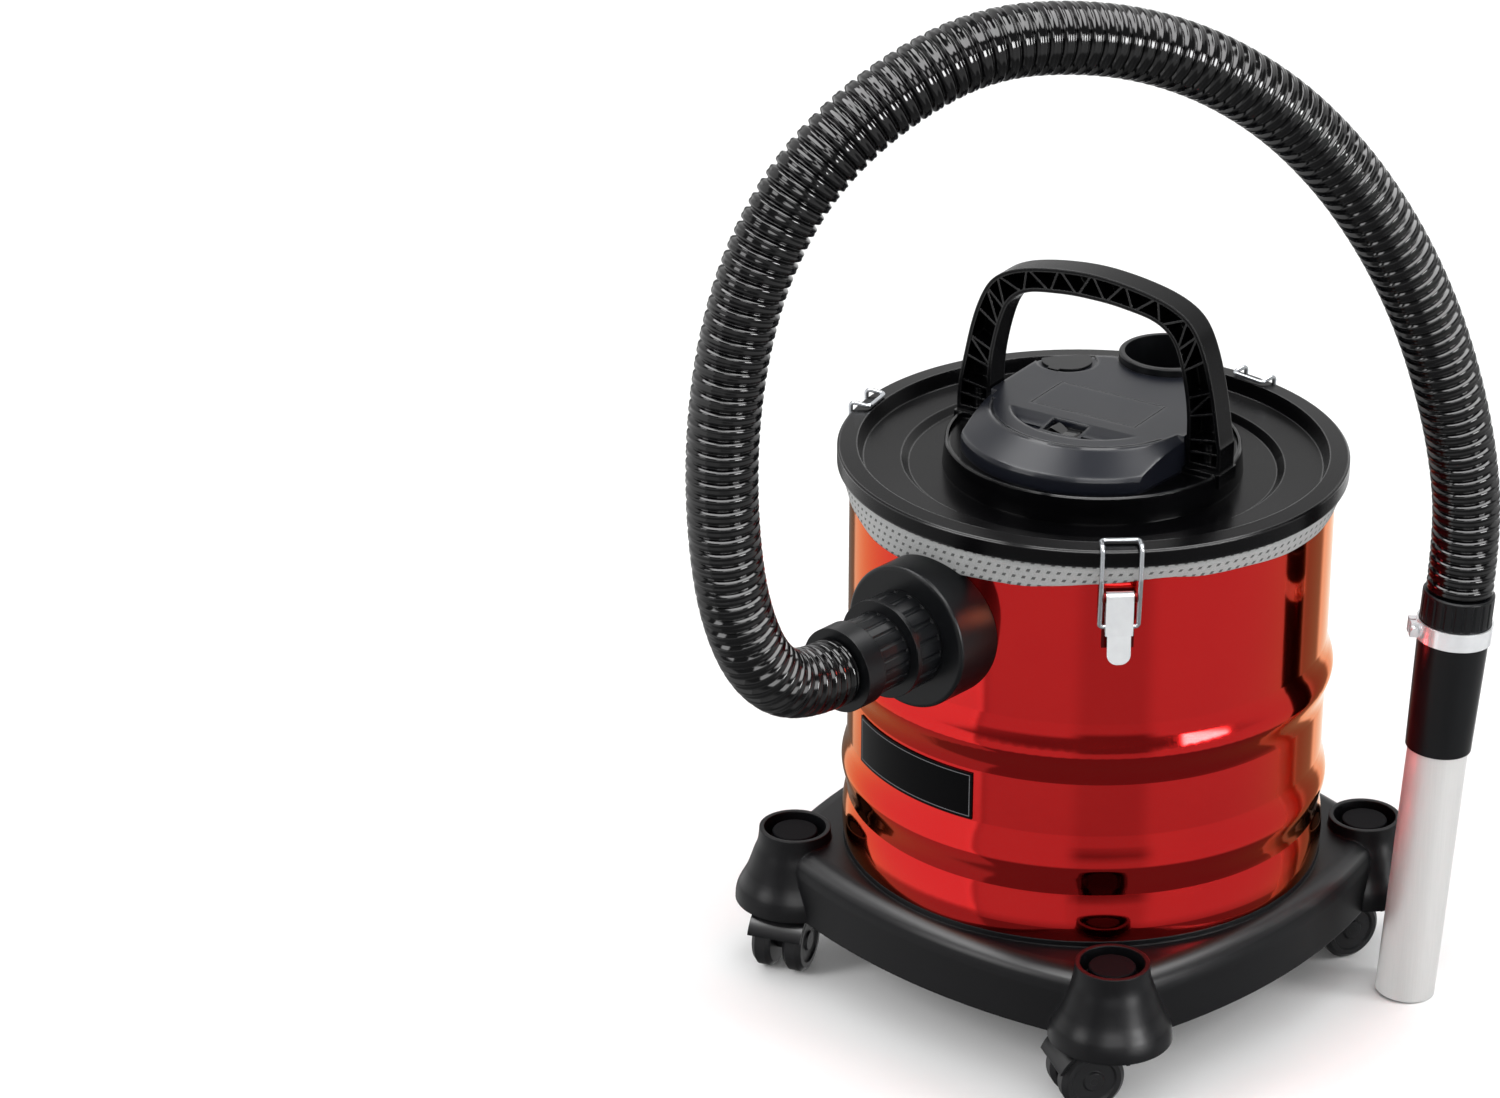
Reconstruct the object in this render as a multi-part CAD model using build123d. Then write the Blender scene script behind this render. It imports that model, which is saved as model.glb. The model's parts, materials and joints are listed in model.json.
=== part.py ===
from build123d import *
from math import atan2, cos, degrees, pi, radians, sin, sqrt, tan
import os

# Shop vacuum with a sheet-metal drum, a clamped lid with the motor head, a
# four-caster dolly, and a corrugated hose with a metal suction tube.
# Millimetres, Z up, origin on the floor under the drum's axis.
# The hose inlet faces the front left; X points right and Y points back.

# ---------------------------------------------------------------- clearances
SEAT_GAP = 0.1          # between fixed pieces with curved faces
RUN_GAP = 0.05          # radial, shaft in its bore
MOVE_GAP = 0.3          # between bodies that move past each other

# ---------------------------------------------------------------- drum
DRUM_R = 155.0          # outer radius between the beads
DRUM_WALL = 1.0
DRUM_BASE_Z = 92.0      # lower edge of the drum's curl
DRUM_TOP_Z = 352.3
DRUM_FLOOR_Z = 100.0    # underside of the drum's base sheet
CURL_BULGE = 2.8        # how far the bottom curl stands out
LOW_BEAD_Z = DRUM_FLOOR_Z + 45.0
LOW_BEAD_H = 42.0
LOW_BEAD_OUT = 3.5
HIGH_BEAD_Z = LOW_BEAD_Z + 78.0
HIGH_BEAD_H = 42.0
HIGH_BEAD_OUT = 4.6

# ---------------------------------------------------------------- filter bag
HEM_T = 1.8             # folded hem over the drum's edge
HEM_DROP_OUT = 9.5      # how far the hem hangs down outside
HEM_DROP_IN = 11.0
BAG_T = 1.2
BAG_NECK_R = DRUM_R - 19.0
BAG_NECK_DROP = 4.0
BAG_WAIST_R = DRUM_R - 43.0
BAG_WAIST_Z = DRUM_TOP_Z - 102.3
BAG_FOOT_R = DRUM_R - 79.0
BAG_FOOT_Z = DRUM_FLOOR_Z + 20.0

# ---------------------------------------------------------------- lid
LID_OVER = 8.1          # lid beyond the drum's wall
LID_R = DRUM_R + LID_OVER
LID_RIM_H = 10.8        # height of the rim's side
LID_RIM_T = 2.5
LID_RIM_TOP_T = 3.4
LID_RIM_RISE = 0.7      # inner edge of the rim above its outer edge
LID_RIM_W = 12.9
LID_RIM_IN_R = LID_R - LID_RIM_W
LID_SHELF_R = LID_RIM_IN_R - 3.8
LID_SHELF_DROP = 8.9    # rim's inner edge down to the shelf
LID_SHELF_FALL = 0.8
LID_STEP_R = LID_SHELF_R - 24.3
LID_PAN_R = LID_STEP_R - 4.7
LID_PAN_DROP = 4.0
LID_T = 3.0
LID_HOLE_R = 60.0
SEAL_GAP = 0.2

# ---------------------------------------------------------------- motor head
HEAD_YAW = -36.0        # the head is turned on the lid by this angle
RING_R = DRUM_R / 2 + 18.5
RING_TOP_R = RING_R - 2.0
RING_H = 18.0
RING_WALL = 3.4
RING_LIP_H = 3.0        # lip above the ring's floor
RING_FLOOR_T = 3.0
RING_HOLE_R = 50.0
PAD_IN_U = RING_R - 25.5
PAD_OUT_U = RING_R + 1.0
PAD_HALF_V = 11.0
PAD_RISE = 1.0          # pad above the ring's lip
COVER_T = 2.5
COVER_FRONT_R = RING_R - 10.5
COVER_EDGE_Z_UP = 9.0   # wall height before the rounded edge
COVER_EDGE_DROP = 2.5   # rounded edge of the front wall
PLATE_UP = 24.5         # top plate above the ring's floor
PLATE_FRONT_R = RING_R - 29.0
PLATE_BACK_R = RING_R - 10.0
PLATE_HALF_U = RING_R - 25.7
PLATE_FRONT_V = -10.0
FRONT_HALF_U = RING_R - 35.0
FRONT_V = -RING_R + 6.0
COVER_CORNER_R = 10.0
GROOVE_W = 1.3
GROOVE_DEPTH = 1.0
DISH_V = -26.0          # straight edge of the sloped dish round the switch
DISH_R = 53.0
DISH_HALF_U = 46.0
DISH_DEPTH = 4.7
LABEL_HALF_U = 38.0
LABEL_V0 = -15.0
LABEL_V1 = 25.0
LABEL_GROOVE = 0.6
COVER_BOSS_R = 5.0
COVER_BOSS_AT = ((-0.583, -0.5), (0.583, -0.5), (0.583, 0.479), (-0.646, 0.271))  # shares of RING_R

# ---------------------------------------------------------------- switch
SWITCH_V = -36.0
SWITCH_L = 25.0
SWITCH_W = 15.0
SWITCH_DEPTH = 6.5
SWITCH_SINK = 4.0       # bezel's top below the plate
ROCKER_L = 18.6
ROCKER_W = 10.4
ROCKER_PIVOT_UP = -2.5  # pivot below the bezel's top
ROCKER_TILT = 8.0
TRUNNION_R = 1.2
TRUNNION_OUT = 1.1

# ---------------------------------------------------------------- blow port, plug, gland
PORT_V = RING_R + 2.0
PORT_R = 32.7
PORT_BORE_R = 29.0
PORT_STEP_R = 25.0
PORT_TOP_UP = 5.0       # port's rim above the top plate
PORT_BORE_DEPTH = 30.0
PORT_STEP_DEPTH = 6.0
PORT_FLOOR_T = 2.0
PORT_WINDOW_W = 30.0
PLUG_U = -53.5
PLUG_V = 58.0
PLUG_R = 16.5
PLUG_WELL_R = 20.0
PLUG_WELL_DEPTH = 1.2
PLUG_HEAD_T = 1.8
PLUG_PEG_R = 4.0
PLUG_PEG_IN = 8.0
PLUG_PEG_L = 6.0
GLAND_ANGLE = 132.0
GLAND_R = 6.0
GLAND_BORE_R = 3.5
GLAND_OUT = 12.0
GLAND_FLANGE_R = 5.2
GLAND_UP = 7.5

# ---------------------------------------------------------------- handle
HANDLE_HALF_W = RING_R   # outline points below are for a half width of 96
HANDLE_FOR = 96.0
HANDLE_OUT = ((96.0, 0.0), (95.4, 18.0), (92.4, 35.0), (87.2, 60.0), (80.0, 82.0), (72.0, 95.0),
              (59.0, 103.6), (42.0, 108.8), (21.0, 112.2), (0.0, 113.5))
HANDLE_IN = ((71.6, 0.0), (71.6, 18.0), (71.2, 34.0), (68.4, 53.5), (64.0, 70.5), (59.0, 81.5),
             (50.0, 89.5), (30.0, 94.6), (15.0, 96.2), (0.0, 96.6))
HANDLE_DEPTH = 18.0
HANDLE_SKIN = 2.6
HANDLE_BACK = 4.0       # closed web behind the ribs
HANDLE_FOOT_H = 4.0     # solid foot under the ribs
HANDLE_RIB_T = 1.4
HANDLE_BOSS_R = 4.2     # round each foot screw
LEG_RUNGS = (0.035, 0.062, 0.115, 0.155, 0.215, 0.262)
LEG_BRACES = ((0.115, 0.155), (0.215, 0.262))
GRIP_ZIGZAG = (0.262, 0.738, 14)   # first and last place along the handle, number of ribs
HANDLE_SCREW_U = RING_R - 12.0
HANDLE_SCREW_L = 14.0

# ---------------------------------------------------------------- motor and fan
MOTOR_R = 40.5
MOTOR_WALL = 3.5
MOTOR_BASE_Z = DRUM_TOP_Z - 60.3
MOTOR_H = 88.0
MOTOR_TOP_Z = MOTOR_BASE_Z + MOTOR_H
MOTOR_CAP_T = 3.0
FAN_PLATE_T = 2.0
FAN_EYE_R = 16.0
FAN_ROOM_H = 16.0
PARTITION_T = 3.0
BEARING_SEAT_R = 11.0
BEARING_H = 7.0
BEARING_WALL = 4.0
SHAFT_R = 4.0
ROTOR_R = MOTOR_R - 7.5
ROTOR_Z0 = MOTOR_BASE_Z + 30.0
ROTOR_Z1 = ROTOR_Z0 + 39.0
COMMUTATOR_R = 12.0
COMMUTATOR_H = 6.0
FAN_R = MOTOR_R - 6.5
FAN_BLADES = 9
FAN_H = 11.0
FAN_DISC_T = 1.4
MOUNT_R = RING_R - 35.0
MOUNT_H = 5.0
FLANGE_R = MOUNT_R - 4.0
FLANGE_T = 3.0

# ---------------------------------------------------------------- filter cartridge
BASKET_FLAT = 2 * MOTOR_R + 7.0      # across flats of the six-sided motor basket
BASKET_T = 2.0
BASKET_BASE_Z = MOTOR_BASE_Z - 7.0
BASKET_FLANGE_R = RING_R - 4.0
BASKET_FLANGE_T = 3.0
BASKET_HOLE_R = 4.0
HEAD_SCREW_R = RING_R - 12.0
HEAD_SCREW_L = 12.0
FIT_GAP = 0.4           # cartridge collar over the basket
COLLAR_WALL = 3.0
COLLAR_H = 28.0
FILTER_FLANGE_R = BASKET_FLAT - 18.0
FILTER_FLANGE_T = 4.0
FILTER_TABS = 3
PLEAT_OUT_R = FILTER_FLANGE_R - 10.0
PLEAT_IN_R = PLEAT_OUT_R - 7.0
PLEAT_H = 58.0
PLEAT_COUNT = 48
FILTER_BASE_R = PLEAT_OUT_R + 4.0
FILTER_BASE_T = 6.0
SLEEVE_T = 1.2

# ---------------------------------------------------------------- hose inlet
INLET_ANGLE = -135.0
INLET_Z = DRUM_TOP_Z - 58.3
INLET_FLANGE_R = 46.4
INLET_FACE = DRUM_R + 27.0      # flange face, from the drum's axis
INLET_WALL = 3.0
INLET_FACE_T = 4.0
SPIGOT_R = INLET_FLANGE_R - 15.4
SPIGOT_BORE_R = SPIGOT_R - 3.0
SPIGOT_END = DRUM_R - 15.5
GASKET_T = 1.5
NUT_R = SPIGOT_R + 9.0
NUT_H = 7.0
ADAPTER_R = 31.0
ADAPTER_END = INLET_FACE + 23.0
ADAPTER_PLUG_L = 20.0
ADAPTER_BORE_R = 24.0
ADAPTER_RIM_R = 31.6
ADAPTER_RIM_H = 3.5
ADAPTER_GRIPS = 18
CUFF_R = 24.6
CUFF_GRIP_END = ADAPTER_END + 25.0
CUFF_PLUG_R = 23.9
CUFF_PLUG_L = 18.0
SLEEVE_R = 27.0
SLEEVE_END = CUFF_GRIP_END + 15.0
CUFF_GRIPS = 20
AIR_R = 18.0            # airway of hose, cuffs and tube

# ---------------------------------------------------------------- hose and tube
HOSE_R = 21.5
HOSE_FOR_END = 245.0    # the route below is laid out for a cuff that ends here
HOSE_FOR_Z = 294.0      # and at this height
HOSE_POINTS = ((-198, -198, 294), (-222, -220, 318), (-238, -235, 364), (-245, -239, 422),
               (-245, -238, 480), (-238, -236, 535), (-223, -231, 586), (-195, -221, 634),
               (-150, -204, 672), (-92, -183, 697), (-26, -159, 692), (32, -138, 672),
               (85, -118, 637), (128, -103, 593), (163, -90, 543), (190, -80, 491),
               (210, -72, 438), (224, -68, 385))
HOSE_LEAD = 45.0        # last straight run, in line with the suction tube
WAND_TOP = (228.0, -66.0, 290.0)
WAND_FOOT = (210.0, -66.0)
WAND_R = 19.5
WAND_INSERT = 50.0      # how deep the tube sits in its cuff
GRIP_R = 23.0
GRIP_L = 20.0
BAND_R = 24.6
BAND_L = 13.0
BAND_SEAT_R = 23.2
WAND_CUFF_L = 110.0
WAND_CUFF_END_R = 21.2
WAND_GRIPS = 22
BAND_EAR = 6.0

# ---------------------------------------------------------------- latches
LATCHES = (("front", -90.0), ("right", 42.0), ("left", 151.0))
PLATE_HALF_W = 9.0
PLATE_T = 1.4
PIVOT_Z = DRUM_TOP_Z - 17.8
PLATE_Z0 = PIVOT_Z - 36.5
PIVOT_OUT = 5.6         # lever pivot, from the drum's wall
PIN_R = 1.5
EAR_T = 1.2
EAR_R = 4.2
LEVER_HALF_W = 8.5
LEVER_T = 1.4
LEVER_ROLL_R = 3.2
LEVER_STEP_Z = PIVOT_Z - 25.5
TONGUE_HALF_W = 7.3
TONGUE_Z = LEVER_STEP_Z - 18.5
TONGUE_OUT = 2.0
TONGUE_TIP_R = 6.5
HOOK_Z = PIVOT_Z - 20.5
HOOK_OUT = 5.0          # bail pivot, from the drum's wall
WIRE_R = 1.5
WIRE_HALF_W = 12.0
HOOK_END = 6.2          # inner end of the bail's hooks
HOOK_EYE_R = 3.2        # lever's cheek round the hook
BAR_R = LID_R - 11.1
RIM_GAP = 0.35          # wire to the lid's rim
RIVET_R = 2.6
RIVET_HEAD_H = 1.1

# ---------------------------------------------------------------- badge plate
BADGE_AT = -143.0
BADGE_W = 108.2
BADGE_H = 32.5
BADGE_UP = 1.0          # above the lower bead's edge
BADGE_Z0 = LOW_BEAD_Z + LOW_BEAD_H / 2 + BADGE_UP
BADGE_Z1 = BADGE_Z0 + BADGE_H
BADGE_T = 0.8

# ---------------------------------------------------------------- dolly
TOWER_OUT = 34.0        # caster towers, from the drum's wall
TOWER_AT = DRUM_R + TOWER_OUT        # caster towers, from the drum's axis
SIDE_R = 2 * DRUM_R + 110.0          # radius of the dolly's bowed sides
SIDE_OUT = 15.0
SIDE_MID = DRUM_R + SIDE_OUT        # middle of a side, from the drum's axis
DOLLY_Z0 = 44.0
DOLLY_TOP_Z = 88.0
DOLLY_SHOULDER = 15.0
DOLLY_T = 3.5
BELL_TOP_R = 23.6
BELL_TOP_Z = 95.5
BELL_FOOT_R = 39.5
BELL_T = 3.0
BELL_SKIRT_H = 8.0
BELL_THROAT_R = 21.5    # inside the bell, under its well
WELL_R = 20.6
WELL_Z = 82.0
WELL_FLOOR_T = 3.0
CAP_R = 15.0
CAP_TOP_Z = 93.0
CAP_SEAT_H = 4.0
POST_R = 9.0
POST_Z0 = 52.0
SEAT_RING_IN = DRUM_R - 6.0
SEAT_RING_OUT = DRUM_R + 2.0
LIP_T = 2.5
LIP_H = 5.0
RIB_T = 3.0
RIB_Z0 = 60.0

# ---------------------------------------------------------------- casters
CASTERS = (("front", -90.0, 194.0), ("right", 0.0, 205.0), ("back", 90.0, 170.0), ("left", 180.0, 246.0))
WHEEL_R = 21.0
WHEEL_W = 13.0
WHEEL_GAP = 8.6         # between the twin wheels
WHEEL_EDGE = 3.0
TRAIL = 16.0
AXLE_R = 2.5
HOOD_R = 25.0
HOOD_T = 2.4
HOOD_W = 37.0
HOOD_TIP_Z = 30.0
WEB_W = 8.0
WEB_R = 8.0
NECK_R = 9.0
NECK_TOP_Z = 50.0
STEM_R = 4.0
STEM_TOP_Z = 70.0


def revolved(points):
    """Solid of revolution about Z from a closed outline of (radius, height)."""
    outline = Polyline([(r, 0, z) for r, z in points], close=True)
    return revolve(make_face(outline), Axis.Z)


def tube(outer, inner, z0, z1):
    """Upright ring."""
    ring = Circle(outer) - Circle(inner)
    return extrude(Pos(0, 0, z0) * ring, z1 - z0)


def rod(radius, z0, z1, x=0.0, y=0.0):
    """Upright round bar."""
    return extrude(Pos(x, y, z0) * Circle(radius), z1 - z0)


def block(x0, x1, y0, y1, z0, z1):
    """Box between two corners."""
    return Pos((x0 + x1) / 2, (y0 + y1) / 2, (z0 + z1) / 2) * Box(x1 - x0, y1 - y0, z1 - z0)


def head(shape):
    """Turns a piece from the head's own axes (u right, v back) to the machine's."""
    return Rot(0, 0, HEAD_YAW) * shape


def along(angle, z, shape):
    """Lays a piece made along +Z on the radial line at this angle and height."""
    a = radians(angle)
    line = Plane(origin=(0, 0, z), x_dir=(-sin(a), cos(a), 0), z_dir=(cos(a), sin(a), 0))
    return line * shape


nodes = {}

# ================================================================ drum
low0 = LOW_BEAD_Z - LOW_BEAD_H / 2
low1 = LOW_BEAD_Z + LOW_BEAD_H / 2
high0 = HIGH_BEAD_Z - HIGH_BEAD_H / 2
high1 = HIGH_BEAD_Z + HIGH_BEAD_H / 2


def bead(r, middle, height, out):
    """Rounded bead that leaves and meets the straight wall smoothly."""
    ends = [(r, 0, middle - height / 2), (r + out, 0, middle), (r, 0, middle + height / 2)]
    return Spline(*ends, tangents=[(0, 0, 1), (0, 0, 1)])


def drum_side(inset):
    """Edges of the drum's side from its curl to its top edge."""
    r = DRUM_R - inset
    foot = (r + CURL_BULGE * 0.65, 0, DRUM_BASE_Z)
    belly = (r + CURL_BULGE, 0, DRUM_BASE_Z + 9)
    return [
        ThreePointArc(foot, belly, (r, 0, low0)),
        bead(r, LOW_BEAD_Z, LOW_BEAD_H, LOW_BEAD_OUT),
        Line((r, 0, low1), (r, 0, high0)),
        bead(r, HIGH_BEAD_Z, HIGH_BEAD_H, HIGH_BEAD_OUT),
        Line((r, 0, high1), (r, 0, DRUM_TOP_Z)),
    ]


def drum_solid(inset):
    """The drum's side as a full solid down to its curl."""
    side = drum_side(inset)
    foot = side[0] @ 0
    top = side[-1] @ 1
    close = [
        Line(top, (0, 0, DRUM_TOP_Z)),
        Line((0, 0, DRUM_TOP_Z), (0, 0, DRUM_BASE_Z)),
        Line((0, 0, DRUM_BASE_Z), foot),
    ]
    return revolve(make_face(Wire(side + close)), Axis.Z)


drum_in_r = DRUM_R - DRUM_WALL
drum_body = drum_solid(0.0)
floor_sheet = rod(DRUM_R + CURL_BULGE, DRUM_FLOOR_Z, DRUM_FLOOR_Z + DRUM_WALL)
inlet_hole_r = SPIGOT_R + 0.5
drum_shell = drum_body - drum_solid(DRUM_WALL) + (floor_sheet & drum_body)
inlet_hole = along(INLET_ANGLE, INLET_Z, rod(inlet_hole_r, DRUM_R - 20, DRUM_R + 20))
drum_shell = drum_shell - inlet_hole

# ================================================================ filter bag
hem_z0 = DRUM_TOP_Z - HEM_DROP_OUT
hem_top = DRUM_TOP_Z + SEAT_GAP + HEM_T
hem_in = drum_in_r - SEAT_GAP - HEM_T
hem_out = DRUM_R + SEAT_GAP + HEM_T
hem_low = DRUM_TOP_Z - HEM_DROP_IN
nodes["bag_hem"] = revolved([
    (DRUM_R + SEAT_GAP, hem_z0), (hem_out, hem_z0), (hem_out, hem_top), (hem_in, hem_top),
    (hem_in, hem_low), (drum_in_r - SEAT_GAP, hem_low),
    (drum_in_r - SEAT_GAP, DRUM_TOP_Z + SEAT_GAP), (DRUM_R + SEAT_GAP, DRUM_TOP_Z + SEAT_GAP),
])
bag_outer = [
    (drum_in_r - SEAT_GAP, hem_low), (BAG_NECK_R, hem_low - BAG_NECK_DROP),
    (BAG_WAIST_R, BAG_WAIST_Z), (BAG_FOOT_R, BAG_FOOT_Z), (0, BAG_FOOT_Z),
]
bag_inner = [
    (0, BAG_FOOT_Z + BAG_T), (BAG_FOOT_R - BAG_T, BAG_FOOT_Z + BAG_T),
    (BAG_WAIST_R - BAG_T, BAG_WAIST_Z), (BAG_NECK_R - BAG_T, hem_low - BAG_NECK_DROP + BAG_T),
    (hem_in, hem_low),
]
nodes["filter_bag"] = revolved(bag_outer + bag_inner)

# ================================================================ lid
seal_z0 = hem_top + SEAT_GAP
rim_z0 = hem_top + 0.6
rim_z1 = rim_z0 + LID_RIM_H
rim_top = rim_z1 + LID_RIM_RISE
shelf_z1 = rim_top - LID_SHELF_DROP
shelf_z0 = shelf_z1 - LID_SHELF_FALL
pan_z = shelf_z0 - LID_PAN_DROP
rim_roof = rim_z1 - LID_RIM_TOP_T + LID_RIM_RISE
lid_top = [
    (LID_PAN_R, pan_z), (LID_STEP_R, shelf_z0), (LID_SHELF_R, shelf_z1),
    (LID_RIM_IN_R, rim_top), (LID_R - 1.2, rim_z1 + 0.1), (LID_R, rim_z1 - 1.0), (LID_R, rim_z0),
]
lid_under = [
    (LID_R - LID_RIM_T, rim_z0), (LID_R - LID_RIM_T, rim_roof), (LID_RIM_IN_R + 2.2, rim_roof),
    (LID_SHELF_R + 2.4, shelf_z1 - LID_T), (LID_STEP_R + 1.6, shelf_z0 - LID_T),
    (LID_PAN_R + 1.6, pan_z - LID_T), (LID_HOLE_R, pan_z - LID_T),
]
lid = revolved([(LID_HOLE_R, pan_z)] + lid_top + lid_under)
head_screw_at = [(HEAD_SCREW_R, a) for a in (30.0, 150.0, 210.0, 330.0)]


def at_polar(radius, angle):
    """Position at a radius and an angle about Z."""
    return Pos(radius * cos(radians(angle)), radius * sin(radians(angle)), 0)


screw_r = 1.75
for radius, angle in head_screw_at:
    lid = lid - head(at_polar(radius, angle) * rod(screw_r + 0.25, pan_z - LID_T - 1, pan_z + 1))
nodes["lid"] = lid
nodes["lid_seal"] = tube(LID_R - LID_RIM_T - SEAL_GAP, LID_RIM_IN_R + 2.2 + SEAL_GAP, seal_z0, rim_roof)

# ================================================================ motor head base
cover_boss_pos = [(u * RING_R, v * RING_R) for u, v in COVER_BOSS_AT]
ring_z0 = pan_z
ring_top = ring_z0 + RING_H
floor_z = ring_top - RING_LIP_H
floor_low = floor_z - RING_FLOOR_T
ring = revolved([
    (RING_R, ring_z0), (RING_TOP_R + 0.5, ring_top - 1.0), (RING_TOP_R - 0.3, ring_top),
    (RING_TOP_R - 1.8, ring_top), (RING_TOP_R - 2.4, floor_z), (RING_HOLE_R, floor_z),
    (RING_HOLE_R, floor_low), (RING_R - RING_WALL - 1.0, floor_low), (RING_R - RING_WALL, ring_z0),
])
pad_top = ring_top + PAD_RISE
pad_low = floor_low - 2.0
for side in (-1, 1):
    u0, u1 = sorted((side * PAD_IN_U, side * PAD_OUT_U))
    ring = ring + block(u0, u1, -PAD_HALF_V, PAD_HALF_V, pad_low, pad_top)
for radius, angle in head_screw_at:
    ring = ring + at_polar(radius, angle) * rod(5.0, ring_z0, floor_low + 0.5)
port_clear = rod(PORT_R + MOVE_GAP, ring_z0 - 1, ring_top + RING_H, 0, PORT_V)
ring = ring - port_clear
for radius, angle in head_screw_at:
    ring = ring - at_polar(radius, angle) * rod(screw_r + RUN_GAP, ring_z0 - 1, ring_z0 + HEAD_SCREW_L - 2)
for u, v in cover_boss_pos:
    ring = ring - rod(screw_r + 0.25, floor_low - 1, floor_z + 1, u, v)
for side in (-1, 1):
    ring = ring - rod(screw_r + 0.45, pad_low - 1, pad_top + 1, side * HANDLE_SCREW_U, 0)
gland_z = ring_z0 + GLAND_UP
ring = ring - along(GLAND_ANGLE, gland_z, rod(GLAND_FLANGE_R + SEAT_GAP, RING_R - 12, RING_R + 4))
nodes["base_ring"] = head(ring)

# cable gland in the wall of the ring
gland_in = RING_R - RING_WALL - 4.0
gland = rod(GLAND_FLANGE_R, gland_in, RING_R + 0.5) + rod(GLAND_R, RING_R + 0.5, RING_R + GLAND_OUT)
gland = gland - rod(GLAND_BORE_R, gland_in - 1, RING_R + GLAND_OUT + 1)
nodes["cable_gland"] = head(along(GLAND_ANGLE, gland_z, gland))

# ================================================================ motor cover
plate_z = floor_z + PLATE_UP
edge_z = floor_z + COVER_EDGE_Z_UP


def cover_form(inset, top_inset):
    """Outer form of the motor cover, or the same form drawn in by a wall."""
    edge_r = COVER_FRONT_R - inset
    plate_r = PLATE_FRONT_R - inset * 0.6
    top = plate_z - top_inset
    front = revolved([
        (0, floor_z), (edge_r, floor_z), (edge_r, edge_z - top_inset), (edge_r - 1.2, edge_z + COVER_EDGE_DROP - top_inset),
        (plate_r, top - 1.2), (plate_r - 0.6, top), (0, top),
    ])
    sides = make_face(Polyline([
        (-FRONT_HALF_U + inset, FRONT_V, floor_z), (FRONT_HALF_U - inset, FRONT_V, floor_z),
        (PLATE_HALF_U - inset, PLATE_FRONT_V, floor_z), (PLATE_HALF_U - inset, 0, floor_z),
        (-PLATE_HALF_U + inset, 0, floor_z), (-PLATE_HALF_U + inset, PLATE_FRONT_V, floor_z),
    ], close=True))
    front = front & extrude(sides, top - floor_z + 1)
    back_flat = (Pos(0, 0, floor_z) * Circle(PLATE_BACK_R - inset)) & make_face(Polyline([
        (-PLATE_HALF_U + inset, PLATE_FRONT_V + inset, floor_z), (PLATE_HALF_U - inset, PLATE_FRONT_V + inset, floor_z),
        (PLATE_HALF_U - inset, PLATE_BACK_R, floor_z), (-PLATE_HALF_U + inset, PLATE_BACK_R, floor_z),
    ], close=True))
    return front + extrude(back_flat, top - floor_z)


cover_outer = cover_form(0.0, 0.0)
cover = cover_outer - cover_form(COVER_T, COVER_T)
for u, v in cover_boss_pos:
    cover = cover + (rod(COVER_BOSS_R, floor_z, plate_z - 1, u, v) & cover_outer)
switch_z = plate_z - SWITCH_SINK
switch_low = switch_z - SWITCH_DEPTH
pocket = block(-SWITCH_L / 2 - 2, SWITCH_L / 2 + 2, SWITCH_V - SWITCH_W / 2 - 2, SWITCH_V + SWITCH_W / 2 + 2,
               switch_z - 2.0, plate_z - 0.5)
cover = cover + pocket
dish = extrude(Plane.YZ * make_face(Polyline([
    (DISH_V, plate_z), (DISH_V, plate_z + 2), (-DISH_R - 2, plate_z + 2), (-DISH_R - 2, plate_z - DISH_DEPTH),
], close=True)), DISH_HALF_U, both=True)
dish_limit = rod(DISH_R, plate_z - 8, plate_z + 3)
dish_floor = extrude(Plane.YZ * make_face(Polyline([
    (DISH_V + 3, plate_z - 1), (-DISH_R - 3, plate_z - DISH_DEPTH - 0.6),
    (-DISH_R - 3, plate_z - DISH_DEPTH - 2.6), (DISH_V + 3, plate_z - 3),
], close=True)), DISH_HALF_U + 4, both=True)
cover = cover + (dish_floor & rod(DISH_R + 3, plate_z - 9, plate_z))
cover = cover - (dish & dish_limit)
cover = cover - block(-SWITCH_L / 2 - SEAT_GAP, SWITCH_L / 2 + SEAT_GAP, SWITCH_V - SWITCH_W / 2 - SEAT_GAP,
                      SWITCH_V + SWITCH_W / 2 + SEAT_GAP, switch_low - 2, plate_z + 1)
front_groove = tube(PLATE_FRONT_R - 1.4, PLATE_FRONT_R - 1.4 - GROOVE_W, plate_z - GROOVE_DEPTH, plate_z + 1)
cover = cover - (front_groove & block(-80, 80, -80, PLATE_FRONT_V - 12, plate_z - 5, plate_z + 5))
label_line = Pos(0, (LABEL_V0 + LABEL_V1) / 2, plate_z - LABEL_GROOVE) * (
    Rectangle(2 * LABEL_HALF_U, LABEL_V1 - LABEL_V0) - Rectangle(2 * LABEL_HALF_U - 1.2, LABEL_V1 - LABEL_V0 - 1.2))
cover = cover - extrude(label_line, LABEL_GROOVE + 1)
cover = cover - rod(PLUG_WELL_R, plate_z - PLUG_WELL_DEPTH, plate_z + 1, PLUG_U, PLUG_V)
plug_len = sqrt(PLUG_U ** 2 + PLUG_V ** 2)
peg_u = PLUG_U * (1 - PLUG_PEG_IN / plug_len)
peg_v = PLUG_V * (1 - PLUG_PEG_IN / plug_len)
cover = cover - rod(PLUG_PEG_R + SEAT_GAP, plate_z - 6, plate_z + 1, peg_u, peg_v)
cover = cover - rod(PORT_R + MOVE_GAP, floor_z - 1, plate_z + 2, 0, PORT_V)
for u, v in cover_boss_pos:
    cover = cover - rod(screw_r + RUN_GAP, floor_z - 1, floor_z + 12, u, v)
nodes["motor_cover"] = head(cover)

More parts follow.
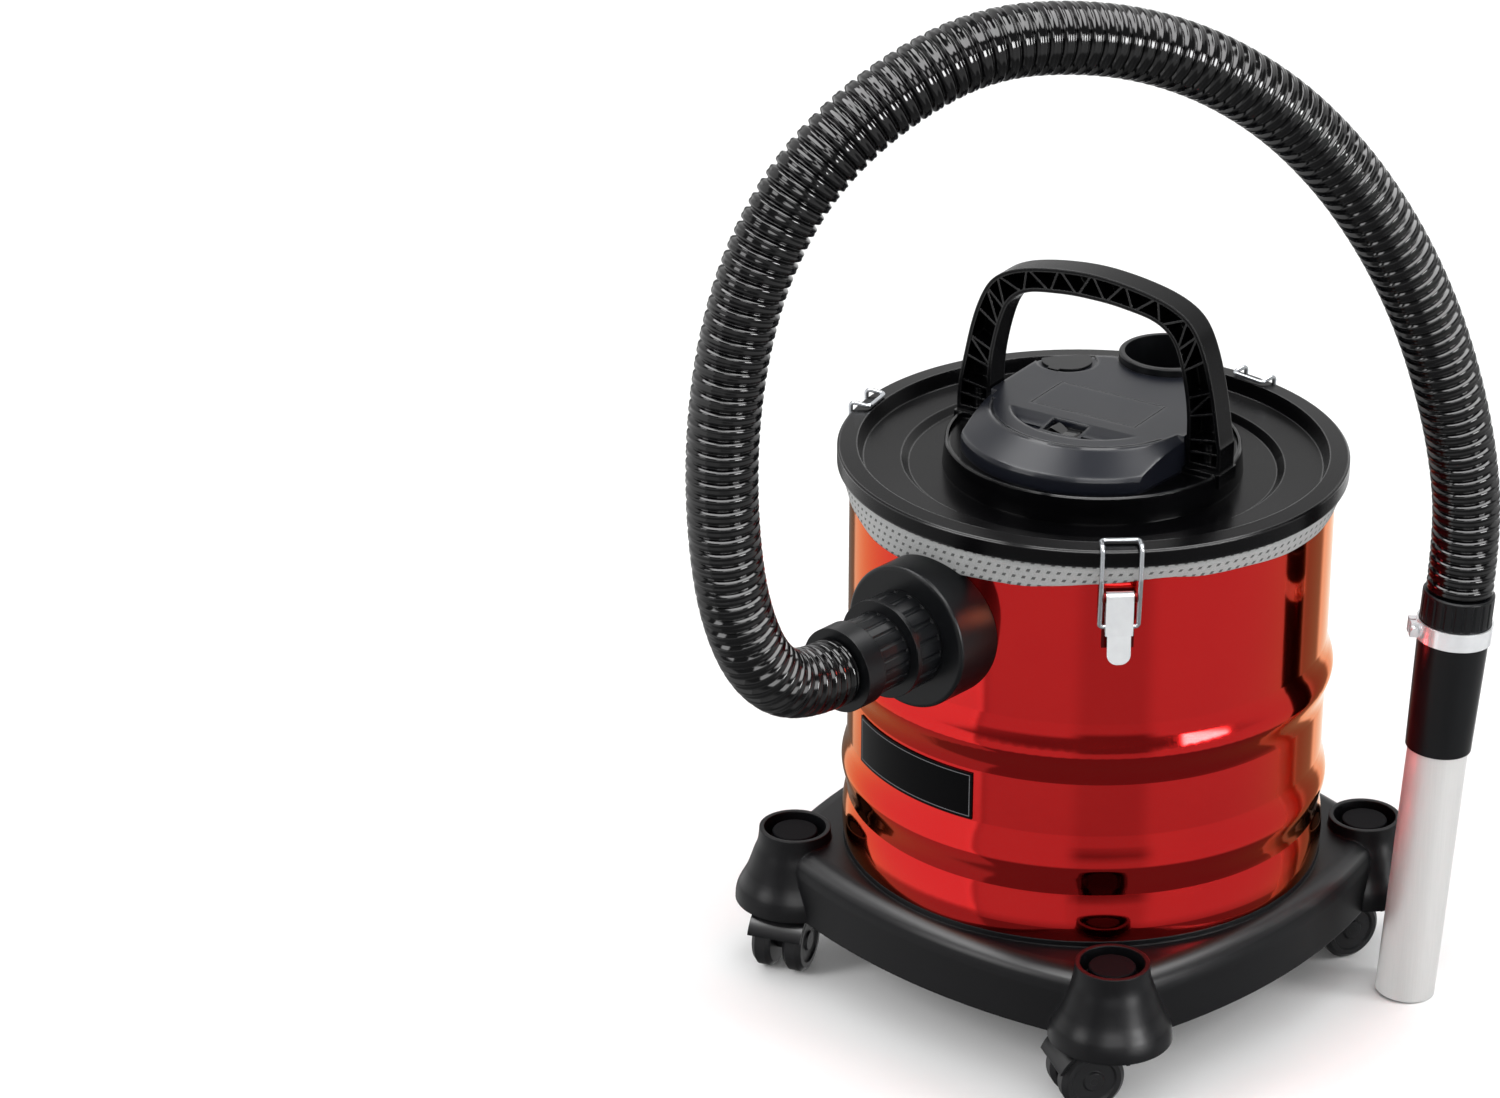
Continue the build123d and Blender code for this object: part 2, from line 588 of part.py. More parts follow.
cap_low = plate_z - PLUG_WELL_DEPTH
plug = rod(PLUG_R, cap_low, cap_low + PLUG_HEAD_T, PLUG_U, PLUG_V) & rod(PLATE_BACK_R - 0.4, cap_low - 1, plate_z + 5)
plug = plug + rod(PLUG_PEG_R, cap_low - PLUG_PEG_L, cap_low + 0.5, peg_u, peg_v)
plug = plug + block(PLUG_U - 4, PLUG_U + 4, PLUG_V - PLUG_R - 2.2, PLUG_V - PLUG_R + 2, cap_low, cap_low + PLUG_HEAD_T)
nodes["plug_cap"] = head(plug)

# ================================================================ switch
bezel = block(-SWITCH_L / 2, SWITCH_L / 2, SWITCH_V - SWITCH_W / 2, SWITCH_V + SWITCH_W / 2, switch_low, switch_z)
room_u = ROCKER_L / 2 + 1.0
room_v = ROCKER_W / 2 + MOVE_GAP
bezel = bezel - block(-room_u, room_u, SWITCH_V - room_v, SWITCH_V + room_v, switch_low + 0.8, switch_z + 1)
rocker_z = switch_z + ROCKER_PIVOT_UP
trunnion_len = ROCKER_W / 2 + TRUNNION_OUT


def along_v(radius, half, v, z):
    """Round bar along v, centred at v and height z."""
    return Pos(0, v + half, z) * Rot(90, 0, 0) * extrude(Circle(radius), 2 * half)


bezel = bezel - along_v(TRUNNION_R + RUN_GAP, trunnion_len + 0.3, SWITCH_V, rocker_z)
nodes["switch_bezel"] = head(bezel)
half_l = ROCKER_L / 2
rocker_face = make_face(Polyline([
    (-half_l + 1.8, SWITCH_V, -2.0), (half_l - 1.8, SWITCH_V, -2.0), (half_l, SWITCH_V, 3.4),
    (half_l - 1.2, SWITCH_V, 3.9), (0, SWITCH_V, 2.5), (-half_l + 1.2, SWITCH_V, 3.9), (-half_l, SWITCH_V, 3.4),
], close=True))
rocker = extrude(rocker_face, ROCKER_W / 2, both=True)
rocker = Pos(0, 0, rocker_z) * Rot(0, ROCKER_TILT, 0) * rocker
rocker = rocker + along_v(TRUNNION_R, trunnion_len, SWITCH_V, rocker_z)
nodes["switch_rocker"] = head(rocker)

# ================================================================ blow port
port_top = plate_z + PORT_TOP_UP
bore_z = port_top - PORT_BORE_DEPTH
step_z = bore_z - PORT_STEP_DEPTH
port = rod(PORT_R, ring_z0, port_top, 0, PORT_V)
port = fillet(port.edges().group_by(Axis.Z)[-1], 1.2)
lid_mould = revolved([(0, pan_z - 5), (0, pan_z + SEAT_GAP), (LID_PAN_R - 0.1, pan_z + SEAT_GAP),
                      (LID_STEP_R - 0.1, shelf_z0 + SEAT_GAP), (LID_SHELF_R, shelf_z1 + SEAT_GAP),
                      (LID_SHELF_R, pan_z - 5)])
port = port - lid_mould
port = port - rod(PORT_BORE_R, bore_z, port_top + 1, 0, PORT_V)
port = port - rod(PORT_STEP_R, step_z, bore_z + 1, 0, PORT_V)
window = block(-PORT_WINDOW_W / 2, PORT_WINDOW_W / 2, PORT_V - PORT_R - 4, PORT_V, floor_z + 1, plate_z - COVER_T)
port = port - window
nodes["blow_port"] = head(port)

# ================================================================ handle
foot_z = pad_top
widen = HANDLE_HALF_W / HANDLE_FOR
handle_out = [(u * widen, h) for u, h in HANDLE_OUT]
handle_in = [(u * widen, h) for u, h in HANDLE_IN]


def handle_edge(points):
    """Smooth symmetric curve over a half outline of (u, height) points."""
    left = [(-u, 0, foot_z + h) for u, h in points]
    right = [(u, 0, foot_z + h) for u, h in reversed(points[:-1])]
    return Spline(*(left + right), tangents=[(0, 0, 1), (0, 0, -1)])


def handle_face(skin):
    """Front view of the handle, drawn in by a skin thickness."""
    outer = handle_edge([(u - skin * sin(t), h - skin * cos(t)) for (u, h), t in zip(handle_out, lean_out)])
    inner = handle_edge([(u + skin * sin(t), h + skin * cos(t)) for (u, h), t in zip(handle_in, lean_in)])
    feet = [Line(outer @ 0, inner @ 0), Line(outer @ 1, inner @ 1)]
    return make_face(Wire([outer, inner] + feet))


def leans(points):
    """Angle of the outline's normal from upright at each point."""
    result = []
    for i in range(len(points)):
        a = points[max(i - 1, 0)]
        b = points[min(i + 1, len(points) - 1)]
        if i == 0:
            result.append(pi / 2)
        elif i == len(points) - 1:
            result.append(0.0)
        else:
            result.append(atan2(b[1] - a[1], a[0] - b[0]))
    return result


lean_out = leans(handle_out)
lean_in = leans(handle_in)
half_depth = HANDLE_DEPTH / 2
handle = extrude(handle_face(0.0), half_depth, both=True)
channel = extrude(handle_face(HANDLE_SKIN), half_depth, both=True)
rib_zone = block(-HANDLE_HALF_W, HANDLE_HALF_W, -half_depth - 1, half_depth - HANDLE_BACK,
                 foot_z + HANDLE_FOOT_H, foot_z + handle_out[-1][1])
channel = channel & rib_zone
handle = handle - channel
outer_edge = handle_edge(handle_out)
inner_edge = handle_edge(handle_in)
rib_ends = []
for place in LEG_RUNGS:
    rib_ends = rib_ends + [(outer_edge @ place, inner_edge @ place), (outer_edge @ (1 - place), inner_edge @ (1 - place))]
for low, high in LEG_BRACES:
    rib_ends = rib_ends + [(outer_edge @ high, inner_edge @ low), (outer_edge @ (1 - high), inner_edge @ (1 - low))]
first, last, count = GRIP_ZIGZAG
for i in range(count):
    a = first + (last - first) * i / count
    b = first + (last - first) * (i + 1) / count
    ends = (outer_edge @ a, inner_edge @ b) if i % 2 else (inner_edge @ a, outer_edge @ b)
    rib_ends.append(ends)
for a, b in rib_ends:
    run = (b - a).length
    tilt = degrees(atan2(b.Z - a.Z, b.X - a.X))
    rib = Pos((a.X + b.X) / 2, -1.0, (a.Z + b.Z) / 2) * Rot(0, -tilt, 0) * Box(run, HANDLE_DEPTH - 3.0, HANDLE_RIB_T)
    handle = handle + (rib & channel)
for side in (-1, 1):
    boss = rod(HANDLE_BOSS_R, foot_z + 1, foot_z + HANDLE_SCREW_L + 2, side * HANDLE_SCREW_U, 0)
    boss = boss + block(side * HANDLE_SCREW_U - HANDLE_BOSS_R, side * HANDLE_SCREW_U + HANDLE_BOSS_R,
                        0, half_depth - HANDLE_BACK + 1, foot_z + 1, foot_z + HANDLE_SCREW_L + 2)
    handle = handle + boss
for side in (-1, 1):
    handle = handle - rod(screw_r + RUN_GAP, foot_z - 1, foot_z + HANDLE_SCREW_L, side * HANDLE_SCREW_U, 0)
nodes["handle"] = head(handle)


def screw(z_seat, z_end, x, y, head_r=3.6, head_h=2.4):
    """Screw pointing up, its head under the seat."""
    return rod(head_r, z_seat - head_h, z_seat, x, y) + rod(screw_r, z_seat - 0.5, z_end, x, y)


nodes["handle_screws"] = head(Compound([
    screw(pad_low, foot_z + HANDLE_SCREW_L - 1, side * HANDLE_SCREW_U, 0) for side in (-1, 1)]))
nodes["cover_screws"] = head(Compound([screw(floor_low, floor_z + 11, u, v) for u, v in cover_boss_pos]))

# ================================================================ motor basket
basket_z1 = pan_z - LID_T
basket_flange_z = basket_z1 - BASKET_FLANGE_T
hex_r = BASKET_FLAT / 2 / cos(pi / 6)
hex_in_r = (BASKET_FLAT / 2 - BASKET_T) / cos(pi / 6)
hexagon = RegularPolygon(hex_r, 6)
hexagon_in = RegularPolygon(hex_in_r, 6)
basket = extrude(Pos(0, 0, BASKET_BASE_Z) * hexagon, basket_z1 - BASKET_BASE_Z)
basket = basket + rod(BASKET_FLANGE_R, basket_flange_z, basket_z1)
basket = basket - extrude(Pos(0, 0, BASKET_BASE_Z + BASKET_T) * hexagon_in, basket_z1)
for ring_r, count in ((0.0, 1), (13.0, 6), (27.0, 12)):
    for i in range(count):
        basket = basket - at_polar(ring_r, 360 * i / count) * rod(BASKET_HOLE_R, BASKET_BASE_Z - 1, BASKET_BASE_Z + 3)
for radius, angle in head_screw_at:
    basket = basket - at_polar(radius, angle) * rod(screw_r + 0.25, basket_flange_z - 1, basket_z1 + 1)
nodes["motor_basket"] = head(basket)
nodes["head_screws"] = head(Compound([
    screw(basket_flange_z, ring_z0 + HEAD_SCREW_L - 3, radius * cos(radians(angle)), radius * sin(radians(angle)))
    for radius, angle in head_screw_at]))

# ================================================================ motor
motor_in_r = MOTOR_R - MOTOR_WALL
fan_z0 = MOTOR_BASE_Z + FAN_PLATE_T
partition_z = fan_z0 + FAN_ROOM_H
low_bearing_z = partition_z + PARTITION_T
boss_r = BEARING_SEAT_R + BEARING_WALL
high_bearing_z = MOTOR_TOP_Z - MOTOR_CAP_T - BEARING_H
flange_z = floor_z + MOUNT_H
motor = tube(MOTOR_R, motor_in_r, MOTOR_BASE_Z, MOTOR_TOP_Z)
motor = motor + tube(MOTOR_R - 1, FAN_EYE_R, MOTOR_BASE_Z, fan_z0)
motor = motor + tube(MOTOR_R - 1, SHAFT_R + 2, partition_z, partition_z + PARTITION_T)
motor = motor + tube(boss_r, BEARING_SEAT_R, low_bearing_z, low_bearing_z + BEARING_H)
motor = motor + tube(MOTOR_R - 1, BEARING_SEAT_R, MOTOR_TOP_Z - MOTOR_CAP_T, MOTOR_TOP_Z)
motor = motor + tube(boss_r, BEARING_SEAT_R, high_bearing_z, MOTOR_TOP_Z - MOTOR_CAP_T)
motor = motor + tube(FLANGE_R, MOTOR_R - 1, flange_z, flange_z + FLANGE_T)
nodes["motor_body"] = head(motor)
nodes["motor_mount"] = head(tube(MOUNT_R, MOTOR_R + SEAT_GAP, floor_z, flange_z))
nodes["motor_bearings"] = head(Compound([
    tube(BEARING_SEAT_R - RUN_GAP, SHAFT_R + RUN_GAP, z, z + BEARING_H) for z in (low_bearing_z, high_bearing_z)]))
shaft_z0 = fan_z0 + 1.0
shaft_z1 = high_bearing_z + BEARING_H + 1.0
hub_z = partition_z - 1.0
rotor = rod(SHAFT_R, shaft_z0, shaft_z1) + rod(ROTOR_R, ROTOR_Z0, ROTOR_Z1)
rotor = rotor + rod(COMMUTATOR_R, ROTOR_Z1, ROTOR_Z1 + COMMUTATOR_H)
nodes["motor_rotor"] = head(rotor)
fan_low = hub_z - FAN_H
fan = tube(FAN_R, SHAFT_R + RUN_GAP, hub_z - FAN_DISC_T, hub_z)
fan = fan + tube(SHAFT_R + 4, SHAFT_R + RUN_GAP, fan_low, hub_z)
for i in range(FAN_BLADES):
    blade = Pos((FAN_R + SHAFT_R + 4) / 2, 0, (fan_low + hub_z) / 2) * Box(FAN_R - SHAFT_R - 5, 1.4, FAN_H)
    fan = fan + Rot(0, 0, 360 * i / FAN_BLADES) * blade
nodes["impeller"] = head(fan)

# ================================================================ filter cartridge
collar_in_r = (BASKET_FLAT / 2 + FIT_GAP) / cos(pi / 6)
collar_out_r = (BASKET_FLAT / 2 + FIT_GAP + COLLAR_WALL) / cos(pi / 6)
collar_top = basket_flange_z
filter_flange_z = collar_top - COLLAR_H - FILTER_FLANGE_T
collar = extrude(Pos(0, 0, filter_flange_z) * RegularPolygon(collar_out_r, 6), collar_top - filter_flange_z)
collar = collar + rod(FILTER_FLANGE_R, filter_flange_z, filter_flange_z + FILTER_FLANGE_T)
collar = collar - extrude(Pos(0, 0, filter_flange_z - 1) * RegularPolygon(collar_in_r, 6), COLLAR_H + 10)
for i in range(FILTER_TABS):
    tab = block(FILTER_FLANGE_R - 1.5, FILTER_FLANGE_R + 4, -7, 7, filter_flange_z, filter_flange_z + FILTER_FLANGE_T)
    collar = collar + Rot(0, 0, 120 * i + 20) * tab
nodes["filter_collar"] = head(collar)
pleat_z0 = filter_flange_z - PLEAT_H
pleat_ring = []
for i in range(PLEAT_COUNT):
    turn = 2 * pi * i / PLEAT_COUNT
    step = 2 * pi / PLEAT_COUNT
    pleat_ring.append((PLEAT_OUT_R * cos(turn), PLEAT_OUT_R * sin(turn), pleat_z0))
    pleat_ring.append(((PLEAT_IN_R + 3) * cos(turn + step / 2), (PLEAT_IN_R + 3) * sin(turn + step / 2), pleat_z0))
pleats = extrude(make_face(Polyline(pleat_ring, close=True)), PLEAT_H)
nodes["filter_pleats"] = head(pleats - rod(PLEAT_IN_R, pleat_z0 - 1, filter_flange_z + 1))
nodes["filter_base"] = head(rod(FILTER_BASE_R, pleat_z0 - FILTER_BASE_T, pleat_z0))
nodes["mesh_sleeve"] = head(tube(PLEAT_OUT_R + MOVE_GAP + SLEEVE_T, PLEAT_OUT_R + MOVE_GAP, pleat_z0, filter_flange_z))

# ================================================================ hose inlet
flange = rod(INLET_FLANGE_R, DRUM_R - 12, INLET_FACE)
flange = fillet(flange.edges().group_by(Axis.Z)[-1], 2.5)
flange = flange - rod(INLET_FLANGE_R - INLET_WALL, DRUM_R - 13, INLET_FACE - INLET_FACE_T)
flange = along(INLET_ANGLE, INLET_Z, flange) - rod(DRUM_R + SEAT_GAP, 0, DRUM_TOP_Z + INLET_FLANGE_R)
spigot = along(INLET_ANGLE, INLET_Z, rod(SPIGOT_R, SPIGOT_END, INLET_FACE - 1))
flange = flange + spigot
flange = flange - along(INLET_ANGLE, INLET_Z, rod(SPIGOT_BORE_R, SPIGOT_END - 1, INLET_FACE + 1))
nodes["inlet_flange"] = flange
gasket_ring = tube(INLET_FLANGE_R - INLET_WALL - SEAT_GAP, SPIGOT_R + SEAT_GAP, DRUM_R - 12, INLET_FACE - 10)
gasket_zone = tube(DRUM_R + SEAT_GAP + GASKET_T, DRUM_R + SEAT_GAP,
                   INLET_Z - INLET_FLANGE_R, INLET_Z + INLET_FLANGE_R)
nodes["inlet_gasket"] = along(INLET_ANGLE, INLET_Z, gasket_ring) & gasket_zone
nut_face = sqrt((drum_in_r - MOVE_GAP) ** 2 - NUT_R ** 2)
nodes["inlet_nut"] = along(INLET_ANGLE, INLET_Z, tube(NUT_R, SPIGOT_R + SEAT_GAP, nut_face - NUT_H, nut_face))
badge = tube(DRUM_R + SEAT_GAP + BADGE_T, DRUM_R + SEAT_GAP, BADGE_Z0, BADGE_Z1)
badge_half = BADGE_W / DRUM_R / 2
badge_turns = [radians(BADGE_AT) + turn for turn in (-badge_half, badge_half)]
badge_reach = 2 * DRUM_R
badge_cut = Pos(0, 0, BADGE_Z0) * make_face(Polyline(
    [(0, 0)] + [(badge_reach * cos(turn), badge_reach * sin(turn)) for turn in badge_turns], close=True))
nodes["badge_plate"] = badge & extrude(badge_cut, BADGE_Z1 - BADGE_Z0)


def grips(radius, count, z0, z1, size=1.5):
    """Shallow grooves round a gripped collar."""
    cut = []
    for i in range(count):
        cut.append(at_polar(radius + size * 0.45, 360 * i / count) * rod(size, z0, z1))
    return cut


adapter = rod(ADAPTER_R, INLET_FACE, ADAPTER_END)
for groove in grips(ADAPTER_R, ADAPTER_GRIPS, INLET_FACE + 2, ADAPTER_END - ADAPTER_RIM_H, 2.2):
    adapter = adapter - groove
adapter = adapter + rod(ADAPTER_RIM_R, ADAPTER_END - ADAPTER_RIM_H, ADAPTER_END)
adapter = adapter + rod(SPIGOT_BORE_R - SEAT_GAP, INLET_FACE - ADAPTER_PLUG_L, INLET_FACE + 1)
adapter = adapter - rod(ADAPTER_BORE_R, INLET_FACE - ADAPTER_PLUG_L - 1, ADAPTER_END + 1)
nodes["inlet_adapter"] = along(INLET_ANGLE, INLET_Z, adapter)
cuff = rod(CUFF_R, ADAPTER_END, CUFF_GRIP_END)
for groove in grips(CUFF_R, CUFF_GRIPS, ADAPTER_END + 1.5, CUFF_GRIP_END - 2, 1.6):
    cuff = cuff - groove
cuff = cuff + rod(SLEEVE_R, CUFF_GRIP_END, SLEEVE_END) + rod(CUFF_PLUG_R, ADAPTER_END - CUFF_PLUG_L, ADAPTER_END + 1)
cuff = cuff - rod(AIR_R, ADAPTER_END - CUFF_PLUG_L - 1, SLEEVE_END + 1)
nodes["hose_cuff"] = along(INLET_ANGLE, INLET_Z, cuff)

# ================================================================ hose
turn_in = radians(INLET_ANGLE)
hose_start = (SLEEVE_END * cos(turn_in), SLEEVE_END * sin(turn_in), INLET_Z)
spread = SLEEVE_END / HOSE_FOR_END
lift = INLET_Z - HOSE_FOR_Z
wand_top = Vector(WAND_TOP[0] * spread, WAND_TOP[1] * spread, WAND_TOP[2] + lift)
wand_tilt = atan2(wand_top.X - WAND_FOOT[0] * spread, wand_top.Z)
foot_height = WAND_R * sin(wand_tilt) + 0.1
wand_foot = Vector(WAND_FOOT[0] * spread, WAND_FOOT[1] * spread, foot_height)
wand_length = (wand_foot - wand_top).length
hose_lead = wand_top + (wand_top - wand_foot) * (HOSE_LEAD / wand_length)
middle = [Vector(x * spread, y * spread, z + lift) for x, y, z in HOSE_POINTS]
route = [Vector(*hose_start)] + middle + [hose_lead, wand_top]
radii = []
for a, b, c in zip(route, route[1:], route[2:]):
    turn = radians((b - a).get_angle(c - b))
    shorter = min((b - a).length, (c - b).length)
    radii.append(0.45 * shorter / tan(turn / 2))
print("hose radii", [round(r) for r in radii])
path = FilletPolyline(*route, radius=radii)
print("hose length", round(path.length, 1))
mouth = Plane(origin=path @ 0, z_dir=path % 0)
nodes["hose"] = sweep(mouth * (Circle(HOSE_R) - Circle(AIR_R)), path=path)
print("hose volume", round(nodes["hose"].volume), "section x length",
      round(pi * (HOSE_R ** 2 - AIR_R ** 2) * path.length))

# ================================================================ suction tube
wand_line = Plane(origin=wand_top, x_dir=(0, 1, 0), z_dir=wand_foot - wand_top)
cuff_b = revolved([
    (AIR_R, 0), (GRIP_R - 0.8, 0), (GRIP_R, 1.0), (GRIP_R, GRIP_L), (BAND_SEAT_R, GRIP_L),
    (BAND_SEAT_R, GRIP_L + BAND_L), (BAND_SEAT_R - 0.4, GRIP_L + BAND_L), (WAND_CUFF_END_R, WAND_CUFF_L),
    (WAND_R + SEAT_GAP, WAND_CUFF_L), (WAND_R + SEAT_GAP, WAND_CUFF_L - WAND_INSERT),
    (AIR_R, WAND_CUFF_L - WAND_INSERT),
])
for groove in grips(GRIP_R, WAND_GRIPS, 2.0, GRIP_L - 0.5, 1.3):
    cuff_b = cuff_b - groove
nodes["tube_cuff"] = wand_line * cuff_b
band = tube(BAND_R, BAND_SEAT_R + SEAT_GAP, GRIP_L + 0.5, GRIP_L + BAND_L - 0.5)
band_mid = GRIP_L + BAND_L / 2
ear = block(-BAND_EAR, BAND_EAR, -BAND_R - BAND_EAR + 1.5, -BAND_R + 0.8, GRIP_L + 1.5, GRIP_L + BAND_L - 1.5)
band = band + (ear - block(-1.2, 1.2, -60, -BAND_R - 0.4, 0, 60))
bolt_v = -BAND_R - 2.2
bolt_hole = Pos(-BAND_EAR - 4, bolt_v, band_mid) * Rot(0, 90, 0) * extrude(Circle(screw_r + SEAT_GAP), 24)
nodes["hose_clamp"] = wand_line * (band - bolt_hole)
bolt = Pos(-BAND_EAR - 2, bolt_v, band_mid) * Rot(0, 90, 0) * extrude(Circle(screw_r), 2 * BAND_EAR + 4)
bolt = bolt + Pos(-BAND_EAR - 2.2, bolt_v, band_mid) * Rot(0, 90, 0) * extrude(Circle(2.3), 2.2)
nodes["clamp_screw"] = wand_line * bolt
nodes["suction_tube"] = wand_line * tube(WAND_R, AIR_R, WAND_CUFF_L - WAND_INSERT + SEAT_GAP, wand_length)

# ================================================================ latches
# Each latch is made on the +X side of the drum and turned to its angle.
pivot_x = DRUM_R + PIVOT_OUT
hook_x = DRUM_R + HOOK_OUT
plate_x0 = DRUM_R + RUN_GAP
plate_x1 = plate_x0 + PLATE_T
ear_y0 = LEVER_HALF_W + MOVE_GAP
ear_y1 = ear_y0 + EAR_T
plate_z1 = PIVOT_Z + EAR_R


def cross_bar(radius, y0, y1, x, z):
    """Round bar along Y."""
    return Pos(x, y1, z) * Rot(90, 0, 0) * extrude(Circle(radius), y1 - y0)


bracket = block(plate_x0, plate_x1, -ear_y1, ear_y1, PLATE_Z0, plate_z1)
for side in (-1, 1):
    y0, y1 = sorted((side * ear_y0, side * ear_y1))
    ear_side = cross_bar(EAR_R, y0, y1, pivot_x, PIVOT_Z)
    ear_side = ear_side + block(plate_x0, pivot_x, y0, y1, PIVOT_Z - EAR_R, PIVOT_Z + EAR_R)
    bracket = bracket + ear_side
bracket = bracket - cross_bar(PIN_R, -20, 20, pivot_x, PIVOT_Z)
rivet_zs = (PLATE_Z0 + 6.0, HOOK_Z + 7.0)
for z in rivet_zs:
    bracket = bracket - Pos(plate_x0 - 2, 0, z) * Rot(0, 90, 0) * extrude(Circle(1.6 + SEAT_GAP), 8)
pin = cross_bar(PIN_R, -ear_y1, ear_y1, pivot_x, PIVOT_Z)
rivets = []
for z in rivet_zs:
    shank = Pos(DRUM_R - DRUM_WALL - 0.8, 0, z) * Rot(0, 90, 0) * extrude(Circle(1.6), plate_x1 - DRUM_R + DRUM_WALL + 1.2)
    cap = Pos(plate_x1, 0, z) * Rot(0, 90, 0) * extrude(Circle(RIVET_R), RIVET_HEAD_H)
    rivets.append(shank + cap)
rivet_pair = Compound(rivets)

# lever: a roll round its pin, a channel that carries the bail, and a tongue
face_x1 = pivot_x + LEVER_ROLL_R
face_x0 = face_x1 - LEVER_T
lever = cross_bar(LEVER_ROLL_R, -LEVER_HALF_W, LEVER_HALF_W, pivot_x, PIVOT_Z)
lever = lever + block(face_x0, face_x1, -LEVER_HALF_W, LEVER_HALF_W, LEVER_STEP_Z, PIVOT_Z)
for side in (-1, 1):
    y0, y1 = sorted((side * (LEVER_HALF_W - LEVER_T), side * LEVER_HALF_W))
    cheek = block(pivot_x - LEVER_ROLL_R + 0.2, face_x1, y0, y1, HOOK_Z - 4, PIVOT_Z)
    lever = lever + cheek + cross_bar(HOOK_EYE_R, y0, y1, hook_x, HOOK_Z) - block(face_x1, face_x1 + 5, y0 - 1, y1 + 1, 300, 330)
tongue = extrude(make_face(Polyline([
    (face_x0, 0, LEVER_STEP_Z), (face_x1, 0, LEVER_STEP_Z),
    (face_x1 + TONGUE_OUT, 0, TONGUE_Z), (face_x0 + TONGUE_OUT, 0, TONGUE_Z),
], close=True)), TONGUE_HALF_W, both=True)
tip_edges = tongue.edges().filter_by(lambda e: abs((e @ 0).Z - TONGUE_Z) < 0.01 and abs((e @ 1).Z - TONGUE_Z) < 0.01
                                     and abs((e @ 0).Y - (e @ 1).Y) < 0.01)
tongue = fillet(tip_edges, TONGUE_TIP_R)
lever = lever + tongue
lever = lever - cross_bar(PIN_R + RUN_GAP, -20, 20, pivot_x, PIVOT_Z)
lever = lever - cross_bar(WIRE_R + RUN_GAP * 2, -20, 20, hook_x, HOOK_Z)

# bail: bent wire with hooks in the lever's cheeks and its bar over the lid's rim
side_x = LID_R + RIM_GAP + WIRE_R + 0.3
top_z = rim_top + RIM_GAP + WIRE_R
bend_z = rim_z0 - 8
half_wire = [
    Vector(hook_x, HOOK_END, HOOK_Z), Vector(hook_x, WIRE_HALF_W, HOOK_Z), Vector(side_x - 0.5, WIRE_HALF_W, bend_z),
    Vector(side_x, WIRE_HALF_W, top_z + 1.2), Vector(BAR_R, WIRE_HALF_W, top_z),
]
wire_points = half_wire + [Vector(p.X, -p.Y, p.Z) for p in reversed(half_wire)]
wire_path = FilletPolyline(*wire_points, radius=[2.2, 14.0, 3.0, 3.2, 3.2, 3.0, 14.0, 2.2])
wire_end = Plane(origin=wire_path @ 0, z_dir=wire_path % 0)
bail = sweep(wire_end * Circle(WIRE_R), path=wire_path)

brackets = []
pins = []
all_rivets = []
for name, angle in LATCHES:
    spin = Rot(0, 0, angle)
    brackets.append(spin * bracket)
    pins.append(spin * pin)
    all_rivets.append(spin * rivet_pair)
    nodes["latch_lever_" + name] = spin * lever
    nodes["latch_bail_" + name] = spin * bail
    for z in rivet_zs:
        hole = spin * (Pos(DRUM_R - 6, 0, z) * Rot(0, 90, 0) * extrude(Circle(1.6 + SEAT_GAP), 10))
        drum_shell = drum_shell - hole
nodes["latch_brackets"] = Compound(brackets)
nodes["latch_pins"] = Compound(pins)
nodes["latch_rivets"] = Compound(all_rivets)
nodes["drum_shell"] = drum_shell

# ================================================================ dolly
arc_shift = (SIDE_R - SIDE_MID) / sqrt(2)


def bowed_square(radius):
    """Square with bowed sides and its corners towards the towers."""
    shape = Pos(arc_shift, arc_shift) * Circle(radius)
    for sx, sy in ((-1, 1), (-1, -1), (1, -1)):
        shape = shape & (Pos(sx * arc_shift, sy * arc_shift) * Circle(radius))
    return shape


def rounded_slab(radius, z0, z1, shoulder):
    """Bowed square slab with a rounded shoulder."""
    slab = extrude(Pos(0, 0, z0) * bowed_square(radius), z1 - z0)
    return fillet(slab.edges().group_by(Axis.Z)[-1], shoulder)


def bell():
    """Outer form of a caster tower's bell as a full solid."""
    span = BELL_TOP_Z - DOLLY_Z0
    side = Spline((BELL_FOOT_R, 0, DOLLY_Z0), (BELL_FOOT_R - 1.2, 0, DOLLY_Z0 + 0.16 * span),
                  (BELL_TOP_R + 9.0, 0, DOLLY_Z0 + 0.38 * span), (BELL_TOP_R + 3.4, 0, DOLLY_Z0 + 0.68 * span),
                  (BELL_TOP_R, 0, BELL_TOP_Z), tangents=[(0, 0, 1), (-0.05, 0, 1)])
    lines = [Line((0, 0, BELL_TOP_Z), (0, 0, DOLLY_Z0)), Line((0, 0, DOLLY_Z0), (BELL_FOOT_R, 0, DOLLY_Z0)),
             Line((BELL_TOP_R, 0, BELL_TOP_Z), (0, 0, BELL_TOP_Z))]
    return revolve(make_face(Wire([side] + lines)), Axis.Z)


def bell_room():
    """Hollow inside a bell."""
    foot_r = BELL_FOOT_R - BELL_T
    return revolved([
        (0, DOLLY_Z0 - 1), (foot_r, DOLLY_Z0 - 1), (foot_r, DOLLY_Z0 + BELL_SKIRT_H),
        (BELL_THROAT_R, WELL_Z - WELL_FLOOR_T), (0, WELL_Z - WELL_FLOOR_T),
    ])


